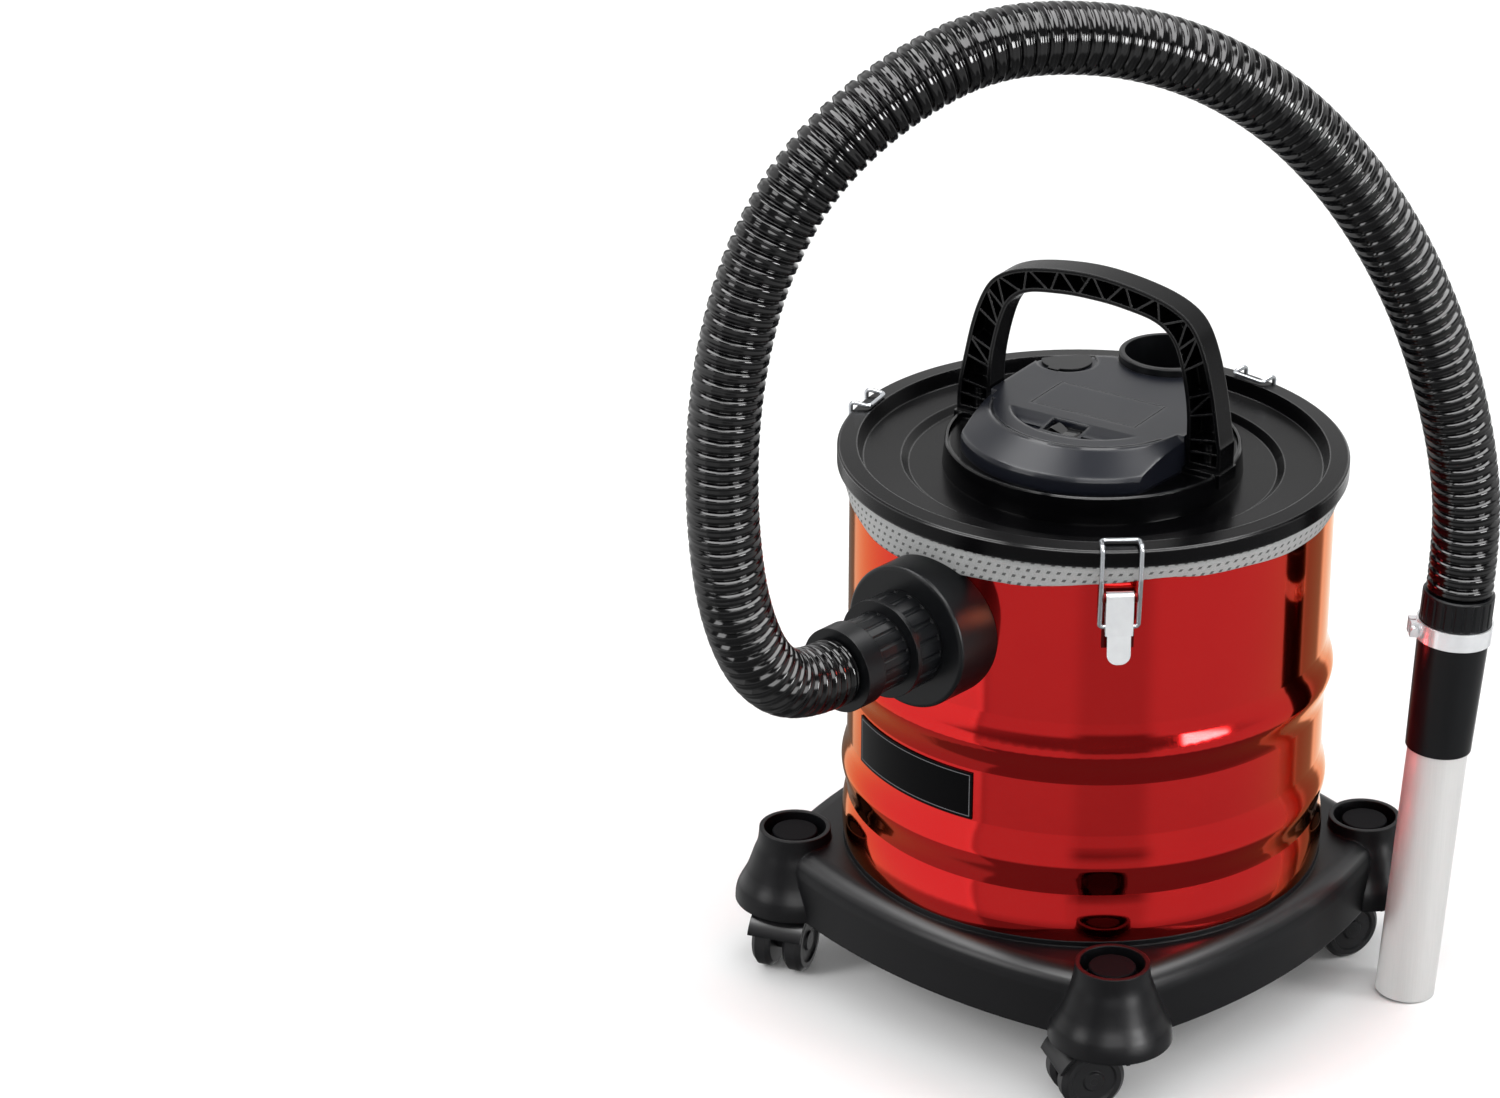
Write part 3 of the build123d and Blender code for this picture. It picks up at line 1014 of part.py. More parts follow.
outer_form = rounded_slab(SIDE_R, DOLLY_Z0, DOLLY_TOP_Z, DOLLY_SHOULDER)
inner_form = rounded_slab(SIDE_R - DOLLY_T, DOLLY_Z0 - 1, DOLLY_TOP_Z - DOLLY_T, DOLLY_SHOULDER - DOLLY_T)
tower_spots = [at_polar(TOWER_AT, angle) for _, angle, _ in CASTERS]
for spot in tower_spots:
    outer_form = outer_form + spot * bell()
    inner_form = inner_form - spot * bell() + spot * bell_room()
seat_ring = tube(SEAT_RING_OUT, SEAT_RING_IN, DOLLY_TOP_Z - 1, DRUM_BASE_Z)
lip_out = drum_in_r - 1.5
seat_lip = tube(lip_out, lip_out - LIP_T, DOLLY_TOP_Z - 1, DRUM_BASE_Z + LIP_H)
dolly = outer_form - inner_form + seat_ring + seat_lip
rib_reach = TOWER_AT - BELL_FOOT_R - 4
for angle in (0, 90):
    dolly = dolly + Rot(0, 0, angle) * block(-rib_reach, rib_reach, -RIB_T / 2, RIB_T / 2, RIB_Z0, DOLLY_TOP_Z - DOLLY_T + 0.5)
post_top = WELL_Z - WELL_FLOOR_T + 1
for spot in tower_spots:
    dolly = dolly - spot * tube(WELL_R, CAP_R + 0.8, WELL_Z, BELL_TOP_Z + 1)
    dolly = dolly - spot * rod(CAP_R + 1, WELL_Z + CAP_SEAT_H, BELL_TOP_Z + 1)
    dolly = dolly + spot * rod(POST_R, POST_Z0, post_top)
    dolly = dolly - spot * rod(STEM_R + RUN_GAP, POST_Z0 - 1, STEM_TOP_Z + 1.0)
nodes["dolly"] = dolly
tower_cap = fillet(rod(CAP_R, WELL_Z + CAP_SEAT_H, CAP_TOP_Z).edges().group_by(Axis.Z)[-1], 1.2)
nodes["tower_caps"] = Compound([spot * tower_cap for spot in tower_spots])

# ================================================================ casters
# Each caster is made with its swivel axis on Z and its wheels trailing along +X.
hood_in_r = HOOD_R - HOOD_T


def axle_bar(radius, half):
    """Round bar along the wheels' axle."""
    return Pos(TRAIL, half, WHEEL_R) * Rot(90, 0, 0) * extrude(Circle(radius), 2 * half)


hood = axle_bar(HOOD_R, HOOD_W / 2) - axle_bar(hood_in_r, HOOD_W / 2 + 1)
hood = hood & block(TRAIL - 40, TRAIL + 40, -40, 40, HOOD_TIP_Z, 80)
web = (axle_bar(HOOD_R - 1, WEB_W / 2) & block(TRAIL - 40, TRAIL + 40, -40, 40, HOOD_TIP_Z, 80))
web = web + axle_bar(WEB_R, WEB_W / 2) + block(TRAIL - WEB_R, TRAIL + WEB_R, -WEB_W / 2, WEB_W / 2, WHEEL_R, HOOD_TIP_Z + 1)
hood = hood + web
neck = rod(NECK_R, WHEEL_R + 10, NECK_TOP_Z) - axle_bar(hood_in_r + 0.5, 40)
hood = hood + neck
stem_z0 = NECK_TOP_Z - 8.0
hood = hood - rod(STEM_R, stem_z0, NECK_TOP_Z + 1) - axle_bar(AXLE_R, 40)
wheel_y0 = WHEEL_GAP / 2
wheel_y1 = wheel_y0 + WHEEL_W
wheel = revolved([
    (AXLE_R + RUN_GAP, wheel_y0), (WHEEL_R - WHEEL_EDGE, wheel_y0), (WHEEL_R, wheel_y0 + WHEEL_EDGE),
    (WHEEL_R, wheel_y1 - WHEEL_EDGE), (WHEEL_R - WHEEL_EDGE, wheel_y1), (WHEEL_R - 6, wheel_y1),
    (WHEEL_R - 7, wheel_y1 - 1.5), (7, wheel_y1 - 1.5), (6, wheel_y1), (AXLE_R + RUN_GAP, wheel_y1),
])
wheels = [Pos(TRAIL, 0, WHEEL_R) * Rot(turn, 0, 0) * wheel for turn in (90, -90)]
caster_pins = [axle_bar(AXLE_R, wheel_y1), rod(STEM_R, stem_z0, STEM_TOP_Z)]
for name, angle, heading in CASTERS:
    place = at_polar(TOWER_AT, angle) * Rot(0, 0, heading)
    nodes["caster_hood_" + name] = place * hood
    nodes["caster_wheels_" + name] = Compound([place * w for w in wheels])
    nodes["caster_pins_" + name] = Compound([place * p for p in caster_pins])

# ================================================================ files
os.makedirs("parts", exist_ok=True)
for name, shape in nodes.items():
    export_step(shape, "parts/" + name + ".step")
print(len(nodes), "nodes")
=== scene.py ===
import bpy
import json
import math
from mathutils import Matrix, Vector


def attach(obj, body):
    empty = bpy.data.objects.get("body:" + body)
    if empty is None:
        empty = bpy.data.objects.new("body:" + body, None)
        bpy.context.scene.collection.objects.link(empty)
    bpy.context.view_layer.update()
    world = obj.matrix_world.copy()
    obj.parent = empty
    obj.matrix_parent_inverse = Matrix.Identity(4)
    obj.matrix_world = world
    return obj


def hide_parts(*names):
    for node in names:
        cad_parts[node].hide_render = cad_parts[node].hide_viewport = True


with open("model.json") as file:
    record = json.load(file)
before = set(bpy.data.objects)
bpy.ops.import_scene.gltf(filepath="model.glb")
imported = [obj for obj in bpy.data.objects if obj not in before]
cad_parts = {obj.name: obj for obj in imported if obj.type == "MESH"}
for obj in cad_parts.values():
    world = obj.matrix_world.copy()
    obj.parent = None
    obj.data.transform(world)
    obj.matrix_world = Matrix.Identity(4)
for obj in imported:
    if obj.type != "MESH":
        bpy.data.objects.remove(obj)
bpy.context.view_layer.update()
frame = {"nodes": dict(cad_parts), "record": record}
nodes = frame["nodes"]
print("frame loaded:", len(nodes), "CAD nodes")


# ---- shader bench: one wrapped socket, one way to make a node, one way to split a vector
class Socket:
    def __init__(self, bench, link):
        self.bench, self.link = bench, link

    def mathNode(self, operation, a, b=None):
        values = {0: a}
        if b is not None:
            values[1] = b
        return self.bench.node("ShaderNodeMath", {"operation": operation}, values)

    def __add__(self, other):
        return self.mathNode("ADD", self, other)

    def __radd__(self, other):
        return self.mathNode("ADD", other, self)

    def __sub__(self, other):
        return self.mathNode("SUBTRACT", self, other)

    def __rsub__(self, other):
        return self.mathNode("SUBTRACT", other, self)

    def __mul__(self, other):
        return self.mathNode("MULTIPLY", self, other)

    def __rmul__(self, other):
        return self.mathNode("MULTIPLY", other, self)

    def __truediv__(self, other):
        return self.mathNode("DIVIDE", self, other)

    def __gt__(self, other):
        return self.mathNode("GREATER_THAN", self, other)

    def __lt__(self, other):
        return self.mathNode("LESS_THAN", self, other)

    def power(self, other):
        return self.mathNode("POWER", self, other)

    def apply(self, operation, other=None):
        return self.mathNode(operation, self, other)


class Bench:
    def __init__(self, name, shaderName="Principled BSDF", owner=None, **constants):
        self.material = owner or bpy.data.materials.new(name)
        self.material.use_nodes = True
        self.tree = self.material.node_tree
        self.shader = self.tree.nodes[shaderName]
        for socketName, value in constants.items():
            self.shader.inputs[socketName.replace("_", " ")].default_value = value

    def node(self, kind, settings=None, sockets=None, output=0):
        made = self.tree.nodes.new(kind)
        for key, value in (settings or {}).items():
            setattr(made, key, value)
        for key, value in (sockets or {}).items():
            self.feed(made.inputs[key], value)
        return Socket(self, made.outputs[output])

    def feed(self, target, value):
        if isinstance(value, Socket):
            self.tree.links.new(value.link, target)
        else:
            target.default_value = value

    def into(self, socketName, value):
        self.feed(self.shader.inputs[socketName], value)

    def place(self, scale=(1, 1, 1)):
        coordinates = self.node("ShaderNodeTexCoord", output="Object")
        return self.node("ShaderNodeMapping", {}, {"Vector": coordinates, "Scale": scale})

    def axes(self, vector):
        parts = self.node("ShaderNodeSeparateXYZ", {}, {"Vector": vector})
        return [Socket(self, parts.link.node.outputs[i]) for i in range(3)]

    def noise(self, size, detail=2.0, vector=None):
        where = vector or self.place()
        return self.node("ShaderNodeTexNoise", {"noise_dimensions": "3D"},
                         {"Vector": where, "Scale": 1.0 / size, "Detail": detail}, "Fac")

    def blend(self, factor, a, b):
        return self.node("ShaderNodeMix", {"data_type": "RGBA"}, {"Factor": factor, 6: a, 7: b}, 2)

    def bump(self, height, distance, strength=1.0, under=None):
        sockets = {"Height": height, "Distance": distance, "Strength": strength}
        if under is not None:
            sockets["Normal"] = under
        return self.node("ShaderNodeBump", {}, sockets)

    def softEdge(self, radius):
        return self.node("ShaderNodeBevel", {"samples": 4}, {"Radius": radius})


def rgb(hexText, gain=1.0):
    values = [int(hexText[i:i + 2], 16) / 255 for i in (0, 2, 4)]
    linear = [v / 12.92 if v < 0.04045 else ((v + 0.055) / 1.055) ** 2.4 for v in values]
    return (linear[0] * gain, linear[1] * gain, linear[2] * gain, 1.0)


# what every moulded plastic shares: cloud size, tint and roughness swing, size and strength of the grain
moulding = {
    "cloud": 0.035,
    "tint": (0.88, 1.14),
    "roughnessSwing": 0.08,
    "grainSize": 0.0006,
    "grainStrength": 0.6,
    "rimGloss": 0.12,
    "shoulderGloss": 0.28,
    "shoulderLean": 0.68,    # upward part of the normal at the middle of a shoulder
    "shoulderFade": 3.6,
}


def mouldedPlastic(name, color, roughness, grain=0.0, edge=0.0005, specular=0.5, rim=0.0, shoulder=0.0):
    gloss = moulding["shoulderGloss"] if shoulder else moulding["rimGloss"]
    bench = Bench(name, Specular_IOR_Level=specular, Coat_Roughness=gloss)
    cloud = bench.noise(moulding["cloud"], detail=3.0)
    dull, bright = moulding["tint"]
    swing = moulding["roughnessSwing"]
    bench.into("Base Color", bench.blend(cloud, rgb(color, dull), rgb(color, bright)))
    bench.into("Roughness", cloud * swing + (roughness - swing / 2))
    rounded = bench.softEdge(edge)
    if grain:
        grains = bench.noise(moulding["grainSize"], detail=1.0)
        bench.into("Normal", bench.bump(grains, grain, moulding["grainStrength"], rounded))
    else:
        bench.into("Normal", rounded)
    if rim:    # edges that are handled shine more than the faces
        flat = bench.node("ShaderNodeNewGeometry", output="Normal")
        lean = bench.node("ShaderNodeVectorMath", {"operation": "DISTANCE"}, {0: rounded, 1: flat}, "Value")
        bench.into("Coat Weight", (lean * rim).apply("MINIMUM", 1.0))
    if shoulder:    # rounded shoulders between top and side are rubbed smoother
        up = bench.axes(bench.node("ShaderNodeNewGeometry", output="Normal"))[2]
        off = (up - moulding["shoulderLean"]).apply("ABSOLUTE")
        bench.into("Coat Weight", (1.0 - off * moulding["shoulderFade"]).apply("MAXIMUM", 0.0) * shoulder)
    return bench.material


# what every bare metal shares
metal = {
    "cloud": 0.006,
    "tint": (0.9, 1.05),
    "roughnessSwing": 0.12,
    "waveSize": 0.004,
    "waveHeight": 0.00012,
    "waveStrength": 0.5,
    "edge": 0.0003,
}


def plainMetal(name, color, roughness, metallic=1.0):
    bench = Bench(name, Metallic=metallic)
    cloud = bench.noise(metal["cloud"], detail=3.0)
    dull, bright = metal["tint"]
    swing = metal["roughnessSwing"]
    bench.into("Base Color", bench.blend(cloud, rgb(color, dull), rgb(color, bright)))
    bench.into("Roughness", cloud * swing + (roughness - swing / 2))
    waves = bench.noise(metal["waveSize"])
    rounded = bench.softEdge(metal["edge"])
    bench.into("Normal", bench.bump(waves, metal["waveHeight"], metal["waveStrength"], rounded))
    return bench.material


# clear red lacquer over bright sheet steel
lacquer = {
    "darkest": (0.58, 0.012, 0.014),
    "lightest": (0.64, 0.018, 0.016),
    "edgeTint": (1.0, 0.85, 0.5, 1),
    "coat": 0.2,
    "coatGloss": 0.02,
    "cloud": 0.05,
    "roughnessSwing": 0.04,
    "waveSize": 0.012,
    "waveHeight": 0.00006,
    "waveStrength": 0.35,
    "edge": 0.0004,
}


def redLacquer(name, depth=1.0, roughness=0.07):
    bench = Bench(name, Metallic=1.0, Specular_Tint=lacquer["edgeTint"], Coat_Weight=lacquer["coat"],
                  Coat_Roughness=lacquer["coatGloss"], Coat_IOR=1.5)
    cloud = bench.noise(lacquer["cloud"], detail=3.0)
    # a depth below 1 darkens the whole red; the latch brackets use it as painted shade
    dark, light = ([*(channel * depth for channel in lacquer[key]), 1] for key in ("darkest", "lightest"))
    bench.into("Base Color", bench.blend(cloud, dark, light))
    bench.into("Roughness", cloud * lacquer["roughnessSwing"] + roughness)
    waves = bench.noise(lacquer["waveSize"])
    rounded = bench.softEdge(lacquer["edge"])
    bench.into("Normal", bench.bump(waves, lacquer["waveHeight"], lacquer["waveStrength"], rounded))
    return bench.material


# drawn tube with fine lines along it
tube = {
    "dark": "cfcfce",
    "light": "dbdad9",
    "metallic": 0.4,
    "roughness": 0.38,
    "roughnessSwing": 0.1,
    "lineSize": 0.0009,
    "lineStretch": (1, 1, 0.02),
    "lineHeight": 0.00004,
    "lineStrength": 0.4,
}


def satinTube(spec):
    bench = Bench("satinTube", Metallic=spec["metallic"])
    lines = bench.noise(spec["lineSize"], vector=bench.place(spec["lineStretch"]))
    bench.into("Base Color", bench.blend(lines, rgb(spec["dark"]), rgb(spec["light"])))
    bench.into("Roughness", lines * spec["roughnessSwing"] + spec["roughness"])
    bench.into("Normal", bench.bump(lines, spec["lineHeight"], spec["lineStrength"]))
    return bench.material


paper = {
    "dark": "d9d6cd",
    "light": "ebe8e0",
    "roughness": 0.9,
    "fibreSize": 0.002,
}


def pleatPaper(spec):
    bench = Bench("pleatPaper", Roughness=spec["roughness"])
    fibres = bench.noise(spec["fibreSize"], detail=3.0)
    bench.into("Base Color", bench.blend(fibres, rgb(spec["dark"]), rgb(spec["light"])))
    return bench.material


# grey filter cloth with rows of short slanted perforations round its hem
hemCloth = {
    "dark": "7c7d7d",
    "light": "a5a6a5",
    "hole": "1d1d1f",
    "roughness": 0.85,
    "weaveSize": 0.0009,
    "weaveHeight": 0.4,      # against 1 for the depth of a hole
    "relief": 0.0003,
    "reliefStrength": 0.7,
    "girthRadius": 0.157,
    "rowStep": 0.0056,
    "dashStep": 0.0062,
    "dashShare": 0.36,
    "rowShift": 0.5,
    "holeDarkness": 0.8,
    "slant": 0.45,
    "lowestHole": 0.325,
    "outsideOf": 0.1553,
}


def clothBand(spec):
    bench = Bench("clothBand", Roughness=spec["roughness"])
    x, y, z = bench.axes(bench.place())
    around = y.apply("ARCTAN2", x) * spec["girthRadius"]
    weave = bench.noise(spec["weaveSize"])
    row = (z / spec["rowStep"]).apply("FLOOR")
    rowPlace = (z / spec["rowStep"]).apply("FRACT")
    shifted = around / spec["dashStep"] + row * spec["rowShift"]
    dashPlace = (shifted - rowPlace * spec["slant"]).apply("FRACT")
    outside = (x * x + y * y).power(0.5) > spec["outsideOf"]
    inDash = (dashPlace < spec["dashShare"]) * (rowPlace < spec["dashShare"])
    dash = inDash * (z > spec["lowestHole"]) * outside
    cloth = bench.blend(weave, rgb(spec["dark"]), rgb(spec["light"]))
    bench.into("Base Color", bench.blend(dash * spec["holeDarkness"], cloth, rgb(spec["hole"])))
    height = weave * spec["weaveHeight"] - dash
    bench.into("Normal", bench.bump(height, spec["relief"], spec["reliefStrength"]))
    return bench.material


# bare black plate with a thin grey line just inside its edge
badge = {
    "face": "040405",
    "line": "5a5a5c",
    "roughness": 0.3,
    "roughnessSwing": 0.08,
    "cloud": 0.02,
    "turn": -143.0,
    "radius": 0.156,
    "halfWidth": 0.0545,
    "middle": 0.18325,
    "halfHeight": 0.01625,
    "lineFrom": 0.0017,
    "lineTo": 0.0023,
}


def badgeFace(spec):
    bench = Bench("badgeFace", Specular_IOR_Level=0.04)
    x, y, z = bench.axes(bench.place())
    turn = y.apply("ARCTAN2", x)
    fromSide = spec["halfWidth"] - ((turn - math.radians(spec["turn"])) * spec["radius"]).apply("ABSOLUTE")
    fromEnd = spec["halfHeight"] - (z - spec["middle"]).apply("ABSOLUTE")
    fromEdge = fromSide.apply("MINIMUM", fromEnd)
    line = (fromEdge > spec["lineFrom"]) * (fromEdge < spec["lineTo"])
    bench.into("Base Color", bench.blend(line, rgb(spec["face"]), rgb(spec["line"])))
    bench.into("Roughness", bench.noise(spec["cloud"]) * spec["roughnessSwing"] + spec["roughness"])
    return bench.material


finish = {
    "painted_metal": redLacquer("redLacquer"),
    "zinc": plainMetal("brightZinc", "eceef0", roughness=0.2, metallic=0.55),
    "aluminium_tube": satinTube(tube),
    "black_plastic": mouldedPlastic("blackMoulding", "0b0c0e", 0.32, grain=0.00006, edge=0.0008,
                                    specular=0.25),
    "grey_plastic": mouldedPlastic("greyMoulding", "12141b", 0.32, grain=0.0001, edge=0.003,
                                   specular=0.28, rim=2.0),
    "dolly_plastic": mouldedPlastic("dollyMoulding", "0a0a0c", 0.4, grain=0.00006, edge=0.0014,
                                    specular=0.17, shoulder=1.0),
    "wheel_plastic": mouldedPlastic("wheelMoulding", "101012", 0.45, edge=0.0008, specular=0.3),
    "gloss_black": mouldedPlastic("glossBlack", "030304", 0.09, edge=0.0003, specular=0.5),
    "rubber": mouldedPlastic("softRubber", "151515", 0.7, grain=0.00005),
    "grey_cloth": clothBand(hemCloth),
    "filter_paper": pleatPaper(paper),
    "black_mesh": mouldedPlastic("sleeveMesh", "141414", 0.6),
    "rotor_steel": plainMetal("coreSteel", "8f9196", roughness=0.35),
}
# nodes that look different from the rest of their slot
lidPlastic = mouldedPlastic("lidMoulding", "040405", 0.24, grain=0.00004, edge=0.0014, specular=0.1,
                            rim=5.0)
wireZinc = plainMetal("wireZinc", "c2c5c9", roughness=0.18, metallic=0.85)
ownFinish = {
    "badge_plate": badgeFace(badge),
    # painted shade: the brackets wear the drum's red lacquer darkened to a fifth, and rougher, to hold down
    # the bright reflection their tilted tops catch
    "latch_brackets": redLacquer("bracketLacquer", 0.2, 0.3),
    "tower_caps": mouldedPlastic("capMoulding", "08080a", 0.6, specular=0.05),
    **dict.fromkeys(("lid", "base_ring", "handle"), lidPlastic),
    **{f"latch_bail_{side}": wireZinc for side in ("front", "right", "left")},
    **{f"caster_pins_{side}": finish["wheel_plastic"] for side in ("front", "right", "back", "left")},
}
for part in frame["record"]["subparts"]:
    piece = nodes[part["node"]]
    if not piece.material_slots:
        piece.data.materials.append(None)
    for materialSlot in piece.material_slots:
        materialSlot.material = finish[part["material_slot"]]
for name, material in ownFinish.items():
    nodes[name].material_slots[0].material = material
print("finishes on the CAD nodes")


# ---- modelling helpers
def makeTurned(name, line, segments, material):
    bpy.ops.object.select_all(action="DESELECT")
    radius, height = line[0]
    bpy.ops.mesh.primitive_circle_add(vertices=segments, radius=radius / 1000, location=(0, 0, height / 1000))
    piece = bpy.context.active_object
    piece.name = name
    bpy.ops.object.transform_apply(location=True, rotation=True, scale=True)
    bpy.ops.object.mode_set(mode="EDIT")
    bpy.ops.mesh.select_all(action="SELECT")
    for nextRadius, nextHeight in line[1:]:
        growth = nextRadius / radius
        lift = (0, 0, (nextHeight - height) / 1000)
        bpy.ops.mesh.extrude_edges_move(TRANSFORM_OT_translate={"value": lift})
        bpy.ops.transform.resize(value=(growth, growth, 1), center_override=(0, 0, 0))
        radius, height = nextRadius, nextHeight
    bpy.ops.object.mode_set(mode="OBJECT")
    piece.data.materials.append(material)
    return piece


def applyModifier(piece, kind, name, **settings):
    modifier = piece.modifiers.new(name, kind)
    for key, value in settings.items():
        setattr(modifier, key, value)
    bpy.context.view_layer.objects.active = piece
    bpy.ops.object.modifier_apply(modifier=name)


def cloudTexture(name, size, depth=2):
    texture = bpy.data.textures.new(name, "CLOUDS")
    texture.noise_scale, texture.noise_depth = size, depth
    return texture


def weigh(piece, name, weight):
    group = piece.vertex_groups.new(name=name)
    for vertex in piece.data.vertices:
        group.add([vertex.index], weight(vertex.co), "REPLACE")
    return name


# ---- corrugated hose
hose = {
    "route": ((-0.17324, -0.17324, 0.294), (-0.198, -0.198, 0.294), (-0.222, -0.220, 0.318),
              (-0.238, -0.235, 0.364), (-0.245, -0.239, 0.422), (-0.245, -0.238, 0.480),
              (-0.238, -0.236, 0.535), (-0.223, -0.231, 0.586), (-0.195, -0.221, 0.634),
              (-0.150, -0.204, 0.672), (-0.092, -0.183, 0.697), (-0.026, -0.159, 0.692),
              (0.032, -0.138, 0.672), (0.085, -0.118, 0.637), (0.128, -0.103, 0.593),
              (0.163, -0.090, 0.543), (0.190, -0.080, 0.491), (0.210, -0.072, 0.438),
              (0.224, -0.068, 0.385), (0.2308, -0.066, 0.3349), (0.228, -0.066, 0.290)),
    "ribs": 130,
    "sides": 40,
    # radius in mm over one rib, and how far along the rib it stands
    "ribProfile": ((18.6, 0.0), (19.0, 0.06), (20.9, 0.17), (21.4, 0.26), (21.45, 0.36), (21.2, 0.46),
                   (21.15, 0.54), (21.4, 0.64), (21.4, 0.74), (20.9, 0.83), (19.0, 0.94), (18.6, 1.0)),
    "weld": 0.00002,
    "length": 1.125,
    "diameter": 0.043,
}


def routeCurve(points):
    bpy.ops.object.select_all(action="DESELECT")
    bpy.ops.curve.primitive_nurbs_path_add(location=(0, 0, 0))
    holder = bpy.context.active_object
    spline = holder.data.splines[0]
    spline.points.add(len(points) - len(spline.points))
    for point, place in zip(spline.points, points):
        point.co = (*place, 1.0)
    spline.order_u = 3
    spline.use_endpoint_u = True
    holder.data.resolution_u = 16
    bpy.context.view_layer.update()
    line = bpy.data.meshes.new_from_object(holder)
    return holder, [vertex.co.copy() for vertex in line.vertices]


def makeHose(spec):
    route, places = routeCurve(spec["route"])
    total = sum((b - a).length for a, b in zip(places, places[1:]))
    pitch = total / spec["ribs"]
    line = [(radius, share * pitch * 1000) for radius, share in spec["ribProfile"]]
    piece = makeTurned("hoseSkin", line, spec["sides"], finish["gloss_black"])
    applyModifier(piece, "ARRAY", "ribRow", count=spec["ribs"], use_relative_offset=False,
                  use_constant_offset=True, constant_offset_displace=(0, 0, pitch),
                  use_merge_vertices=True, merge_threshold=spec["weld"])
    applyModifier(piece, "CURVE", "hoseBend", object=route, deform_axis="POS_Z")
    bpy.data.objects.remove(route)
    piece.data.shade_smooth()
    return piece, places


hoseSkin, hoseLine = makeHose(hose)
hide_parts("hose")
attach(hoseSkin, "machine")
print("hose made,", len(hoseSkin.data.polygons), "faces")

# ---- filter bag: hem folded over the drum's edge, cloth hanging inside
bag = {
    "segments": 240,
    # radius and height in mm: the hem outside, over the edge, and down inside to the foot
    "line": ((156.2, 342.4), (156.5, 343.2), (157.2, 345.0), (158.2, 347.2), (159.2, 349.4), (159.8, 351.4),
             (160.0, 352.8), (159.4, 354.0), (157.0, 354.05), (154.6, 353.9), (152.9, 353.3), (152.5, 350.0),
             (152.6, 344.0), (146.0, 340.6), (135.6, 337.4), (130.0, 318.0), (123.5, 295.0), (117.0, 272.0),
             (111.2, 250.0), (100.0, 211.0), (88.0, 168.0), (77.0, 128.0), (74.8, 121.9), (70.0, 121.4),
             (40.0, 121.3), (12.0, 121.3)),
    "hemTop": 0.3532,
    "hemDepth": 0.0108,
    "hemEdge": 0.1555,
    # where the hem hangs lower: turn from +X in degrees, spread, drop at its edge in m
    "sags": ((-146, 26, 0.0115), (-112, 14, 0.0035), (-36, 24, 0.003), (40, 30, 0.004)),
    "sagBulge": 0.12,
    "thickness": 0.0009,
    "foldDepth": 0.004,
    "foldSize": 0.07,
    "foldsBelow": 0.334,
    "foldsFade": 0.03,
    "hemRipple": 0.0022,
    "rippleSize": 0.05,
    "flat": (0.98, 0.34),
    "area": 0.225,
}


def hemShare(spec, co):
    # 0 at the drum's edge to 1 at the hem's lower edge, outside only
    if math.hypot(co.x, co.y) < spec["hemEdge"]:
        return 0.0
    return min(1.0, max(0.0, (spec["hemTop"] - co.z) / spec["hemDepth"]))


def sagShare(spec, co, place, spread):
    apart = (math.degrees(math.atan2(co.y, co.x)) - place + 180) % 360 - 180
    return hemShare(spec, co) * math.exp(-((apart / spread) ** 2))


def weighSags(piece, spec):
    # each sag's vertex group, with its drop
    groups = []
    for place, spread, drop in spec["sags"]:
        group = weigh(piece, f"sag{place}", lambda co: sagShare(spec, co, place, spread))
        groups.append((group, drop))
    return groups


def foldShare(spec, co):
    return min(1.0, max(0.0, (spec["foldsBelow"] - co.z) / spec["foldsFade"]))


def makeBag(spec):
    piece = makeTurned("bagCloth", spec["line"], spec["segments"], finish["grey_cloth"])
    folds = weigh(piece, "folds", lambda co: foldShare(spec, co))
    hem = weigh(piece, "hem", lambda co: hemShare(spec, co))
    applyModifier(piece, "DISPLACE", "bagFolds", texture=cloudTexture("foldClouds", spec["foldSize"]),
                  texture_coords="LOCAL", strength=spec["foldDepth"] * 2, mid_level=0.5, vertex_group=folds)
    sags = weighSags(piece, spec)
    applyModifier(piece, "DISPLACE", "hemRipple", texture=cloudTexture("hemClouds", spec["rippleSize"], 1),
                  direction="Z", texture_coords="LOCAL", strength=spec["hemRipple"] * 2, mid_level=0.5,
                  vertex_group=hem)
    for sag, drop in sags:
        for direction, amount in (("Z", -drop), ("NORMAL", drop * spec["sagBulge"])):
            applyModifier(piece, "DISPLACE", sag, direction=direction, strength=amount, mid_level=0.0,
                          vertex_group=sag)
    applyModifier(piece, "SOLIDIFY", "clothWall", thickness=spec["thickness"], offset=0.0)
    piece.data.shade_smooth()
    return piece


bagCloth = makeBag(bag)
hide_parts("bag_hem", "filter_bag")
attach(bagCloth, "machine")
print("bag cloth made,", round(sum(face.area for face in bagCloth.data.polygons) / 2, 4), "m2")

# ---- studio
studio = {
    "floor": "f2f2f2",
    "floorSize": 30,
    "camera": {
        "lens": 112.4,
        "sensor": 36.0,
        "place": (-0.3330, -2.7301, 1.5469),
        "tilt": (65.42, 0.0, -2.397),
    },
    "lights": (
        # name, place, aimed at, width, height, power
        ("leftBox", (-2.6, -1.1, 1.9), (0, 0, 0.3), 0.8, 1.5, 34),
        ("rightBox", (2.6, -0.9, 1.9), (0, 0, 0.3), 0.8, 1.5, 30),
        ("topBox", (0.2, 0.6, 3.0), (0, 0, 0.3), 1.6, 1.2, 12),
    ),
    "room": {
        "fill": 1.07,
        "dim": 0.2,
        # turn from the front to the right and rise, in degrees: low, high, low, high, soft edge, strength
        "panels": (
            (-158, -56, -27.6, 6, 1.5, 0.9),
            (-158, -56, -50, -27.6, 1.5, 0.26),
            (138, 184, -50, 6, 3, 0.95),
            (100, 184, 8, 45, 5, 0.8),
            (-184, -100, 8, 45, 5, 0.8),
            (112, 142, -50, 6, 3, 0.14),
            (-56, -10, -30, 4, 5, 0.48),
            (-10, 24, -30, -4, 5, 0.34),
            (24, 116, -30, 4, 5, 0.52),
            (38, 60, 4, 20, 1.5, 24.0),
            (-20, 20, 17, 34, 2, 5.0),
            (-80, -58, 14, 34, 2, 5.0),
            (-150, 150, 48, 74, 3, 7.5),
        ),
    },
}


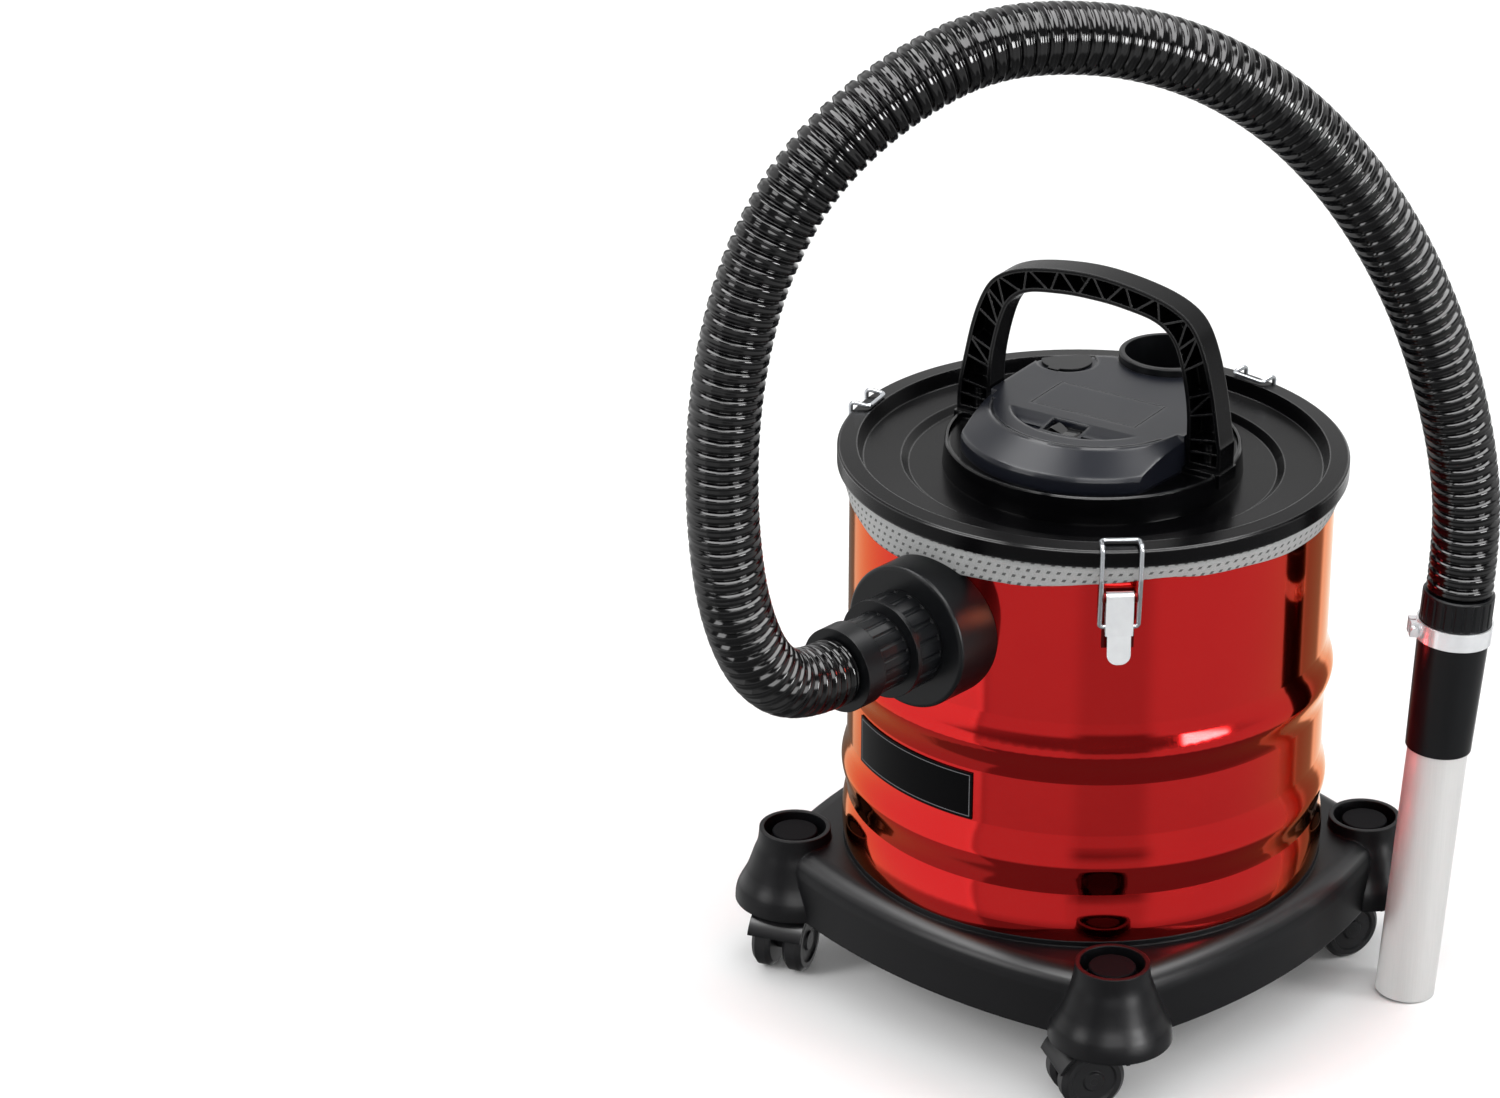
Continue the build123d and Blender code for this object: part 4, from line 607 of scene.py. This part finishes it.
def addLight(name, place, target, width, height, power):
    data = bpy.data.lights.new(name, "AREA")
    data.shape = "RECTANGLE"
    data.size, data.size_y, data.energy = width, height, power
    lamp = bpy.data.objects.new(name, data)
    lamp.location = place
    lamp.rotation_euler = (Vector(target) - Vector(place)).to_track_quat("-Z", "Y").to_euler()
    lamp.visible_glossy = False
    bpy.context.scene.collection.objects.link(lamp)


for light in studio["lights"]:
    addLight(*light)
world = bpy.data.worlds.new("paleStudio")
bpy.context.scene.world = world


def paintRoom(room):
    # white to the eye and as fill light; reflections see the studio's walls, boxes and gaps
    bench = Bench("room", "Background", world)
    aim = bench.node("ShaderNodeTexCoord", output="Generated")
    x, y, z = bench.axes(aim)
    turn = x.apply("ARCTAN2", y * -1.0) * (180 / math.pi)
    rise = z.apply("ARCSINE") * (180 / math.pi)

    def rising(value, start, end):
        return bench.node("ShaderNodeMapRange", {"interpolation_type": "SMOOTHSTEP"},
                          {"Value": value, "From Min": start, "From Max": end})

    def within(value, low, high, soft):
        return rising(value, low - soft, low + soft) * (1.0 - rising(value, high - soft, high + soft))

    seen = bench.node("ShaderNodeMath", {"operation": "ADD"}, {0: room["dim"], 1: 0.0})
    for turnLow, turnHigh, riseLow, riseHigh, soft, strength in room["panels"]:
        seen = seen + within(turn, turnLow, turnHigh, soft) * within(rise, riseLow, riseHigh, soft) * strength
    mirrored = bench.node("ShaderNodeLightPath", output="Is Glossy Ray")
    bench.into("Color", (1, 1, 1, 1))
    bench.into("Strength", mirrored * seen + (1.0 - mirrored) * room["fill"])


paintRoom(studio["room"])


def layFloor(spec):
    bpy.ops.object.select_all(action="DESELECT")
    bpy.ops.mesh.primitive_plane_add(size=spec["floorSize"], location=(0, 0, 0))
    floor = bpy.context.active_object
    floor.name = "floor"
    bench = Bench("paleFloor", Roughness=0.8)
    bench.into("Base Color", rgb(spec["floor"]))
    floor.data.materials.append(bench.material)
    floor.visible_glossy = False
    return floor


def placeCamera(spec):
    camera = bpy.data.cameras.new("camera")
    camera.lens, camera.sensor_width = spec["lens"], spec["sensor"]
    stand = bpy.data.objects.new("camera", camera)
    stand.location = spec["place"]
    stand.rotation_euler = [math.radians(angle) for angle in spec["tilt"]]
    bpy.context.scene.collection.objects.link(stand)
    bpy.context.scene.camera = stand


floor = layFloor(studio)
placeCamera(studio["camera"])
bpy.context.scene.view_settings.view_transform = "Standard"
print("studio ready")

bpy.context.view_layer.update()
